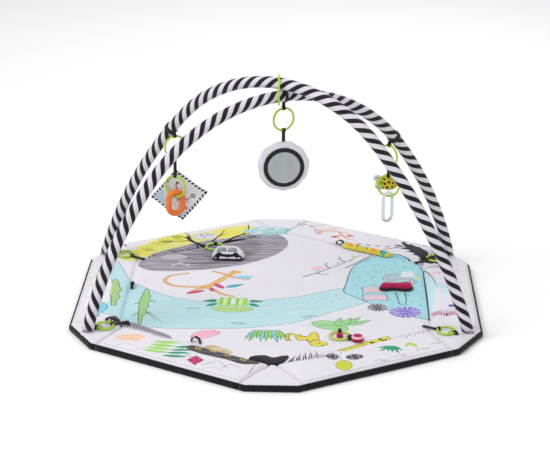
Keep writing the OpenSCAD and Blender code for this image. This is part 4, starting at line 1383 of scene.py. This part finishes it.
def draw_neck():
    """Two framed boxes, a long curved neck and a small tilted box, behind the lying toy."""
    x, w, h = 206, 56, 34
    for y in (-42, 8):
        shape(INK, corners(x - 1.6, y - 1.6, w + 3.2, h + 3.2))
        shape(srgb("d7c9d4"), corners(x, y, w, h), 0.3)
        shape(PINK, corners(x + 8, y + 8, w - 16, h - 24), 0.3)
    neck = [(300, 50), (326, 66), (322, 92), (296, 96), (270, 84), (262, 100), (280, 124), (300, 120)]
    stroke(srgb("6d6872"), neck, 15, 9)
    stroke(srgb("c8c3cf"), neck, 11, 6)
    strokes(INK, [[(284, 10), (288, -30), (292, -62), (312, -70)], [(306, 8), (308, -34), (304, -62)]],
            2.6, 2.0)
    box = [(300, 106), (334, 110), (330, 144), (304, 140)]
    shape(srgb("dfe6ea"), box)
    stroke(INK, box + box[:1], 1.5, per=1)
    for i in range(5):
        leaf(YELLOW, 341, 105, 11, 5, 72 * i + 20)


def draw_climber():
    """A thin orange long-tailed climber, left of the middle."""
    brown, tan = srgb("a8682c"), srgb("eab66a")
    for line, start, stop in (([(-160, 38), (-200, 26), (-250, 30), (-276, 60), (-262, 96), (-220, 112)],
                               8, 4), ([(-176, 20), (-150, 56), (-128, 92), (-112, 118)], 15, 10),
                              ([(-124, 96), (-96, 84), (-70, 76)], 7, 4),
                              ([(-120, 104), (-144, 116), (-164, 130)], 7, 4),
                              ([(-168, 28), (-148, 0), (-126, -24), (-100, -34)], 8, 5),
                              ([(-172, 26), (-196, 8), (-214, -16)], 8, 5)):
        stroke(brown, line, start + 3, stop + 3)
        stroke(tan, line, start, stop)
    oval(tan, -106, 124, 15, 12, 20)
    oval(brown, -112, 126, 3, 3, count=10)
    for x, y, rx, ry, t in ((-142, 34, 20, 8, -52), (-196, -8, 24, 7, 30), (-158, 10, 7, 12, 10)):
        oval(MAGENTA, x, y, rx, ry, t, 0.15)
    blob(SKY, [(-104, 96), (-84, 104), (-62, 98), (-70, 84), (-92, 82)], 0.3)
    leaf(TEAL, -128, 26, 52, 18, 22)
    stroke(INK, [(-124, 28), (-104, 36), (-84, 44)], 1.4)


def draw_green_animals():
    """A long green animal on the left, and one on the wall."""
    blob(srgb("aad388"),
         [(-316, 8), (-309, -6), (-306, -26), (-300, -38), (-305, -52), (-300, -68), (-305, -84),
          (-300, -100), (-306, -116), (-303, -136), (-310, -160), (-309, -196), (-314, -206), (-318, -180),
          (-321, -140), (-324, -100), (-324, -60), (-321, -20)], outline=FOREST, width=1.8)
    for i in range(14):
        x, y = -314, -16 - i * 13
        stroke(FERN, [(x - 5, y), (x, y - 4), (x + 5, y - 2)], 1.8, 0.9, per=2)
    for x, y, t in ((-302, -60, 10), (-304, -130, 4), (-323, -76, 190), (-321, -140, 186)):
        stroke(srgb("6faa55"), [(x, y), (x + 16 * math.cos(math.radians(t)), y - 14)], 6, 3, per=3)
    for x, y in ((-288, -158), (-276, -166)):
        stroke(srgb("6a6674"), [(x - 16, y + 26), (x, y), (x + 12, y - 26)], 2.2, 1.2)
    oval(WHITE, -314, -8, 2.8, 3.0)
    blob(srgb("b4d48a"),
         [(-398, 58), (-388, 46), (-382, 12), (-375, -8), (-381, -30), (-374, -50), (-380, -76),
          (-378, -104), (-388, -106), (-394, -60), (-402, -20), (-404, 24)], outline=FOREST, width=1.8)
    for i in range(11):
        x, y = -392 + i * 0.6, 36 - i * 12
        stroke(FERN, [(x - 6, y), (x, y - 4), (x + 7, y - 2)], 1.8, 0.9, per=2)


def draw_blank_patch():
    """A white patch with sketch lines, where the wall is lettered in life."""
    shape(srgb("eeebf1"), [(-452, 66), (-414, 74), (-402, 30), (-398, -70), (-404, -104), (-452, -110)])
    for y in (40, 20, -6, -34, -60):
        stroke(srgb("8f8a99"), [(-444, y), (-430, y + 4), (-412, y - 1)], 1.4, 0.9, per=3)


def draw_left_wall():
    """A fish shape, spots and lines on the left wall."""
    blob(SKY, [(-440, -90), (-420, -82), (-404, -96), (-396, -120), (-408, -146), (-424, -152), (-440, -132)],
         outline=srgb("2c5a78"))
    leaf(TEAL, -418, -150, 26, 14, -80)
    oval(WHITE, -424, -104, 4, 4)
    for x, y, r in ((-425, 175, 10), (-440, 90, 12), (-428, 128, 7), (-446, 22, 8), (-432, -34, 9)):
        oval(srgb("dfe48f"), x, y, r, r * 0.8, 20, 0.1)
    for x, y in ((-414, 140), (-452, 60), (-414, -20), (-446, -60)):
        stroke(srgb("6f6a76"), [(x - 8, y), (x, y + 7), (x + 9, y + 2)], 1.8, 1.0)


def draw_dark_bank():
    """A dark bank that fades to checks, along the crease at the front left."""
    blob(INK,
         [(-392, -176), (-372, -168), (-344, -190), (-318, -208), (-312, -226), (-336, -226), (-368, -206),
          (-392, -192)], 0.05)
    blob(srgb("8f8a96"), [(-330, -196), (-300, -218), (-262, -246), (-236, -268), (-236, -284), (-262, -276),
                          (-296, -250), (-330, -224)], 0.1)
    for i in range(44):
        t = (i // 2) / 22
        x, y = -384 + 150 * t + 5 * (i % 2), -186 - 92 * t - 11 * (i % 2)
        oval(WHITE, x, y, 3.0, 2.2, 30, count=8)


def draw_trunk():
    """A short green trunk with dark leaves and a bush, in front of the middle."""
    for x, y, t in ((-140, -54, 196), (-142, -64, 168), (-140, -74, 214), (-66, -54, -16), (-64, -64, 12),
                    (-66, -74, -34)):
        leaf(JADE, x, y, 34, 15, t)
        stroke(INK, [(x, y), away(x, y, 22, t)], 1.0, per=1)
    shape(LEAF, [(-136, -40), (-70, -40), (-66, -86), (-140, -86)])
    for x in (-122, -103, -84):
        stroke(PALE_LEAF, [(x, -42), (x - 2, -84)], 8, per=2)
        stroke(srgb("2f7d4a"), [(x - 8, -42), (x - 9, -84)], 1.4, per=2)
    oval(WHITE, -103, -62, 6, 15)
    blob(srgb("b9dc8a"),
         [(-148, -98), (-120, -90), (-86, -90), (-58, -98), (-60, -116), (-90, -124), (-122, -124),
          (-146, -114)], 0.1, outline=MEADOW)
    for i in range(7):
        stroke(MEADOW, [(-140 + 11 * i, -106), (-134 + 11 * i, -112), (-128 + 11 * i, -104)], 1.4, per=2)


def draw_front():
    """A pink leaf, grass, and a yellow animal with a banded tail."""
    coat = srgb("e3d44a")
    blob(PINK,
         [(-188, -276), (-182, -252), (-160, -236), (-132, -236), (-126, -252), (-146, -272),
          (-168, -284)], outline=srgb("b0506e"))
    for i in range(10):
        oval(ROSE, -176 + 5.4 * i, -268 + 3.0 * i + 6 * math.sin(i * 2.1), 2.2, 1.8, count=10)
    for i in range(9):
        x, tilt = -44 + 6.4 * i, -112 + 5.5 * i
        leaf(srgb("3f8048"), x, -226, 62 + 12 * math.sin(i * 2.3), 12, tilt)
        leaf(srgb("9ad06c") if i % 3 else SKY, x, -228, 56 + 12 * math.sin(i * 2.3), 8, tilt)
    blob(coat, [(100, -256), (94, -236), (84, -240), (78, -256), (66, -260), (56, -250), (48, -260),
                          (52, -276), (62, -282), (68, -278), (78, -290), (84, -308), (96, -314), (112, -310),
                          (120, -302), (116, -290), (102, -282)], outline=INK)
    for i in range(16):
        x, y = 58 + 3.4 * i, -262 - 2.4 * i + 10 * math.sin(i * 2.4)
        oval(srgb("6b4a22") if i % 2 else GOLD, x, y, 3.0, 2.6, count=10)
    tail = [(34, -286), (28, -264), (34, -246), (46, -250), (54, -262)]
    stroke(INK, tail, 11, 8)
    stroke(coat, tail, 8, 6)
    for x, y in ((31, -276), (29, -262), (33, -250)):
        stroke(INK, [(x - 5, y + 1), (x + 5, y - 1)], 2.6, per=1)


def draw_front_plants():
    """Green plants to the right of the front."""
    blob(srgb("9fd694"),
         [(84, -180), (104, -168), (134, -172), (156, -186), (168, -214), (150, -226), (120, -218),
          (96, -204)], 0.1, outline=GRASS, width=1.8)
    for x, y, s, t in ((140, -206, 56, 78), (156, -198, 66, 52), (166, -194, 60, 28), (150, -204, 60, 64)):
        leaf(GRASS, x, y, s + 4, 19, t)
        leaf(srgb("a2da98"), x, y, s, 15, t)
        stroke(srgb("5aa564"), [(x, y), away(x, y, s - 8, t)], 1.4, per=1)
    stroke(INK, [(104, -196), (128, -192), (152, -200)], 1.6, 0.8)


def draw_cut_leaves():
    """Two oval cut leaves, a spotted yellow neck, small leaves and zigzags."""
    for x, y, rx, ry, color in ((302, -112, 38, 33, LILAC), (238, -86, 24, 22, srgb("3f3945"))):
        oval(color, x, y, rx, ry, 8)
        for i in range(15):
            a = math.radians(24 * i + 6)
            c, v = rx * math.cos(a), ry * math.sin(a)
            stroke(WHITE, [(x + 0.42 * c, y + 0.42 * v), (x + 1.04 * c, y + 1.04 * v)], 1.0, 3.6, per=1)
        stroke(WHITE, [(x - rx * 0.7, y - 4), (x, y), (x + rx * 0.8, y + 6)], 1.8, 1.0)
    stroke(srgb("8a7a2a"), [(150, -338), (172, -322), (204, -298), (236, -274), (262, -256)], 27, 15)
    stroke(YELLOW, [(152, -337), (172, -322), (204, -298), (236, -274), (261, -257)], 24, 12)
    for i in range(15):
        x, y = 160 + 6.6 * i, -330 + 4.9 * i + 5 * math.sin(i * 2.2)
        oval(srgb("8a5a1e") if i % 3 else INK, x, y, 3.6, 3.0, count=10)
    for i in range(6):
        leaf(JADE, 262 + i, -312, 34 + 6 * math.sin(i * 2), 8, -158 + 22 * i)
    for length, width, turn in ((36, 12, -60), (30, 10, -110)):
        leaf(srgb("b4d86a"), 304, -290, length, width, turn)
    strokes(srgb("6d6684"),
            [[(284, -262), (300, -268), (300, -240), (318, -256), (320, -226), (338, -244), (340, -212),
              (358, -230)],
             [(292, -250), (306, -254), (308, -230), (324, -242), (330, -216), (346, -226)]], 2.0, 1.2,
            per=1)


def draw_fish_bones():
    """Fish bones in the river."""
    for x, y, t in ((-214, -112, 12), (-104, -190, -6), (60, -152, 24)):
        c, s = math.cos(math.radians(t)), math.sin(math.radians(t))
        stroke(SLATE, [(x, y), (x + 18 * c, y + 18 * s), (x + 38 * c, y + 38 * s)], 1.6)
        for i in range(4):
            px, py = x + (8 + 8 * i) * c, y + (8 + 8 * i) * s
            stroke(SLATE, [(px - 6 * s, py + 6 * c), (px + 6 * s, py - 6 * c)], 1.4, per=1)


def draw_front_left_wall():
    """Leaves, a diamond and soft sketches on the front-left wall."""
    for i in range(4):
        leaf(LEAF, -292 + 7 * i, -352 + 15 * i, 66, 15, -14 + 2 * i)
        leaf(JADE, -246 + 8 * i, -382 + 15 * i, 60, 12, -6 + 4 * i)
    shape(srgb("7a1c44"), [(-189, -404), (-170, -379), (-151, -405), (-170, -430)])
    shape(MAGENTA, [(-187, -404), (-170, -381.5), (-153, -405), (-170, -427.5)])
    stroke(srgb("e05a8c"), [(-180, -404), (-170, -391), (-160, -404)], 2.0, per=1)
    stroke(srgb("4a4552"), [(-196, -376), (-184, -384), (-176, -390)], 1.4)
    blob(srgb("f4c49a"),
         [(-360, -286), (-336, -270), (-306, -272), (-292, -290), (-312, -304), (-344, -304)], 0.55)
    for i in range(6):
        stroke(PALE_MARK, [(-352 + 42 * i, -330 - 22 * i), (-330 + 42 * i, -320 - 24 * i),
                                (-316 + 42 * i, -336 - 24 * i)], 1.3, 0.7)


def draw_front_corner():
    """A dark strip with golden spots at the front corner."""
    blob(srgb("3a3238"), [(-196, -336), (-176, -322), (-140, -342), (-100, -364), (-62, -384), (-34, -402),
                          (-30, -418), (-60, -420), (-100, -402), (-140, -380), (-176, -358)], 0.12)
    blob(srgb("c9b07c"),
         [(-160, -322), (-136, -316), (-108, -334), (-90, -350), (-112, -356), (-140, -346)], 0.4)
    for x, y, t in ((-168, -342, -30), (-134, -356, -30), (-100, -378, -30), (-66, -398, -28)):
        oval(GOLD, x, y, 8, 4.4, t)
        oval(INK, x, y, 3.0, 3.0, t, count=12)
    blob(INK,
         [(0, -416), (-20, -400), (-52, -384), (-48, -372), (-20, -366), (0, -376), (20, -366), (34, -366),
          (30, -388)], 0.0)
    strokes(srgb("5f5a68"),
            [[(-110, -440), (-90, -424), (-70, -440)], [(-50, -460), (-40, -430), (-34, -400)],
             [(-150, -424), (-120, -410), (-96, -446)], [(-20, -440), (-6, -424)]], 1.6, 1.0)


def draw_front_right_wall():
    """Grass, speckled ovals and a round fruit on the front-right wall."""
    for i in range(15):
        leaf(INK, 26 + 6.8 * i, -412 + 2.2 * i, 40 + 14 * math.sin(i * 2.1), 3.4, 66 + 4 * i)
    for x, y, rx, ry in ((131, -374, 13, 17), (180, -374, 20, 14)):
        oval(srgb("4a4452"), x, y, rx, ry, 20)
        for i in range(9):
            a = i * 2.4
            oval(WHITE if i % 2 else srgb("7a7484"), x + rx * 0.62 * math.cos(a), y + ry * 0.62 * math.sin(a),
                 2.6, 2.2, count=8)
    stroke(srgb("7a8230"), [(152, -350), (146, -372), (154, -396)], 1.6, 1.2)
    oval(srgb("8d9430"), 156, -417, 18.6, 24.6)
    oval(srgb("d0d63c"), 156, -417, 17, 23)
    stroke(srgb("a8ae30"), [(146, -420), (156, -412), (166, -420)], 1.4)
    for x, y, t in ((236, -392, 20), (280, -366, 40), (330, -330, 30), (362, -300, 50)):
        stroke(MARK, [(x - 14, y - 6), (x, y + 6), (x + 14, y + 2)], 1.6, 0.9)
        leaf(srgb("c9c4d2"), x, y, 22, 8, t)


def draw_right_wall():
    """Small leaves, bars, dots and lines on the right wall."""
    for i in range(5):
        leaf(srgb("b5b0bd"), 362 + 8 * i, 160, 26, 6, 40 + 6 * i)
    for i in range(5):
        stroke(srgb("e77ba3"), [(366 + 12 * i, 120 + 3 * i), (374 + 12 * i, 128 + 3 * i)], 3.4, per=1)
        stroke(srgb("a9dbe6"), [(384 + 8 * i, 30), (386 + 8 * i, 62)], 2.6, per=1)
        stroke(srgb("a9dbe6"), [(382, 34 + 6 * i), (420, 36 + 6 * i)], 2.0, per=1)
    stroke(srgb("cdbfcb"), [(362, -126), (390, -118), (420, -124), (446, -130)], 26, 20)
    for i in range(13):
        stroke(ROSE, [(366 + 6 * i, -136 + 5 * math.sin(i)), (369 + 6 * i, -116 + 5 * math.sin(i))],
               2.6, per=1)
    oval(INK, 398, -128, 3.6, 5)
    blob(srgb("c6e6f2"), [(390, 4), (400, 26), (414, 36), (426, 24), (420, 8), (404, 0)], 0.2)
    oval(PURPLE, 418, -75, 14, 9, 0)
    oval(srgb("9b87d2"), 415, -71, 6, 3.6, 10)
    for i in range(3):
        stroke(srgb("9a95a3"), [(384 + 16 * i, -104), (392 + 16 * i, -94), (400 + 16 * i, -104)], 1.8, per=4)
    for x, y in ((440, 150), (446, 70), (438, -20), (444, -130)):
        stroke(PALE_MARK, [(x - 7, y - 8), (x + 5, y), (x - 3, y + 10)], 1.5, 0.8)


def draw_marks():
    """Light sketch marks over the open white ground."""
    for i in range(34):
        a, r = i * GOLDEN_ANGLE, 26 + 52 * math.sqrt(i)
        x, y = 20 + r * math.cos(a), 60 + r * math.sin(a) * 0.9
        if abs(x) < 330 and abs(y) < 330:
            stroke(srgb("bdb8c6"),
                   [(x, y), (x + 9 * math.cos(i), y + 9 * math.sin(i)),
                    (x + 16 * math.cos(i + 0.7), y + 16 * math.sin(i + 0.7))], 1.3, 0.6, per=3)


def mat_art():
    """The printed scene, in plan. Shapes that cross a crease are drawn on both panels."""
    for draw in (draw_river, draw_pond, draw_grey_ground, draw_yellow_foliage, draw_blue_bushes,
                 draw_rear_right, draw_branches, draw_neck, draw_climber, draw_green_animals,
                 draw_blank_patch, draw_left_wall, draw_dark_bank, draw_trunk, draw_front,
                 draw_front_plants, draw_cut_leaves, draw_fish_bones, draw_front_left_wall,
                 draw_front_corner, draw_front_right_wall, draw_right_wall, draw_marks):
        draw()
    return drawing


# ---------- build everything ----------

art = mat_art()
build_mat(art)
upper_line = build_sleeve("upper_sleeve", UPPER)
lower_line = build_sleeve("lower_sleeve", LOWER)
build_pockets()
build_mat_webbing()
build_hanging_webbing(upper_line, lower_line)
build_mirror()
build_cloth()
build_plush()
build_car()
build_bean()
build_disc_toy()
build_strip()

NODE_MATERIALS = {
    LIME_PLASTIC: ("crossing_ring", "mirror_link", "left_link", "left_ring", "right_link", "right_ring",
                   "retainer_rings", "car_toy_ring"),
    LEMON_PLASTIC: ("disc_toy_ring",),
    POLE_PLASTIC: ("upper_poles", "lower_poles"),
    FERRULE_METAL: ("upper_ferrules", "lower_ferrules"),
    FOOT_PLASTIC: ("upper_feet", "lower_feet"),
    TEETHER_RUBBER: ("teether",),
    CLEAR: ("rattle_ring",),
    PINK_BEAD: ("rattle_beads",),
}
for material, nodes in NODE_MATERIALS.items():
    for node in nodes:
        for place in frame["nodes"][node].material_slots:
            place.material = material


# ---------- floor, light and camera ----------

bpy.ops.mesh.primitive_plane_add(size=30, location=(0, 0, -0.0005))
ground = bpy.context.object
ground.name = "studio_floor"
ground.data.materials.append(studio_floor())

world = bpy.data.worlds.new("studio")
bpy.context.scene.world = world
world.use_nodes = True
world.node_tree.nodes["Background"].inputs["Color"].default_value = (1.0, 1.0, 1.0, 1)
world.node_tree.nodes["Background"].inputs["Strength"].default_value = 0.62


def softbox(name, place, target, power, size):
    light = bpy.data.lights.new(name, "AREA")
    light.energy = power
    light.size = size
    lamp = bpy.data.objects.new(name, light)
    lamp.location = place
    lamp.rotation_euler = (Vector(target) - Vector(place)).to_track_quat("-Z", "Y").to_euler()
    bpy.context.collection.objects.link(lamp)


softbox("key", (-1.9, -1.2, 3.0), (0, 0, 0.1), 60, 1.8)
softbox("fill", (2.6, -1.6, 2.0), (0, 0, 0.1), 14, 2.4)
softbox("back", (0.4, 2.6, 2.2), (0, 0, 0.2), 22, 2.0)

# The camera that was fitted to the mat's corners in the photo, in metres, millimetres and radians
CAMERA_PLACE = (0.0918, -4.0262, 1.6932)
LOOKS_DOWN = math.radians(20.43)
LOOKS_LEFT = 0.0381
FOCAL_LENGTH, SENSOR = 118.7, 36
SHIFT = (0.0424, -0.002)

camera_data = bpy.data.cameras.new("camera")
camera = bpy.data.objects.new("camera", camera_data)
bpy.context.collection.objects.link(camera)
camera_data.lens = FOCAL_LENGTH
camera_data.sensor_width = SENSOR
camera_data.shift_x, camera_data.shift_y = SHIFT
camera.location = CAMERA_PLACE
camera.rotation_euler = (math.pi / 2 - LOOKS_DOWN, 0, LOOKS_LEFT)
bpy.context.scene.camera = camera
bpy.context.scene.view_settings.view_transform = "Standard"
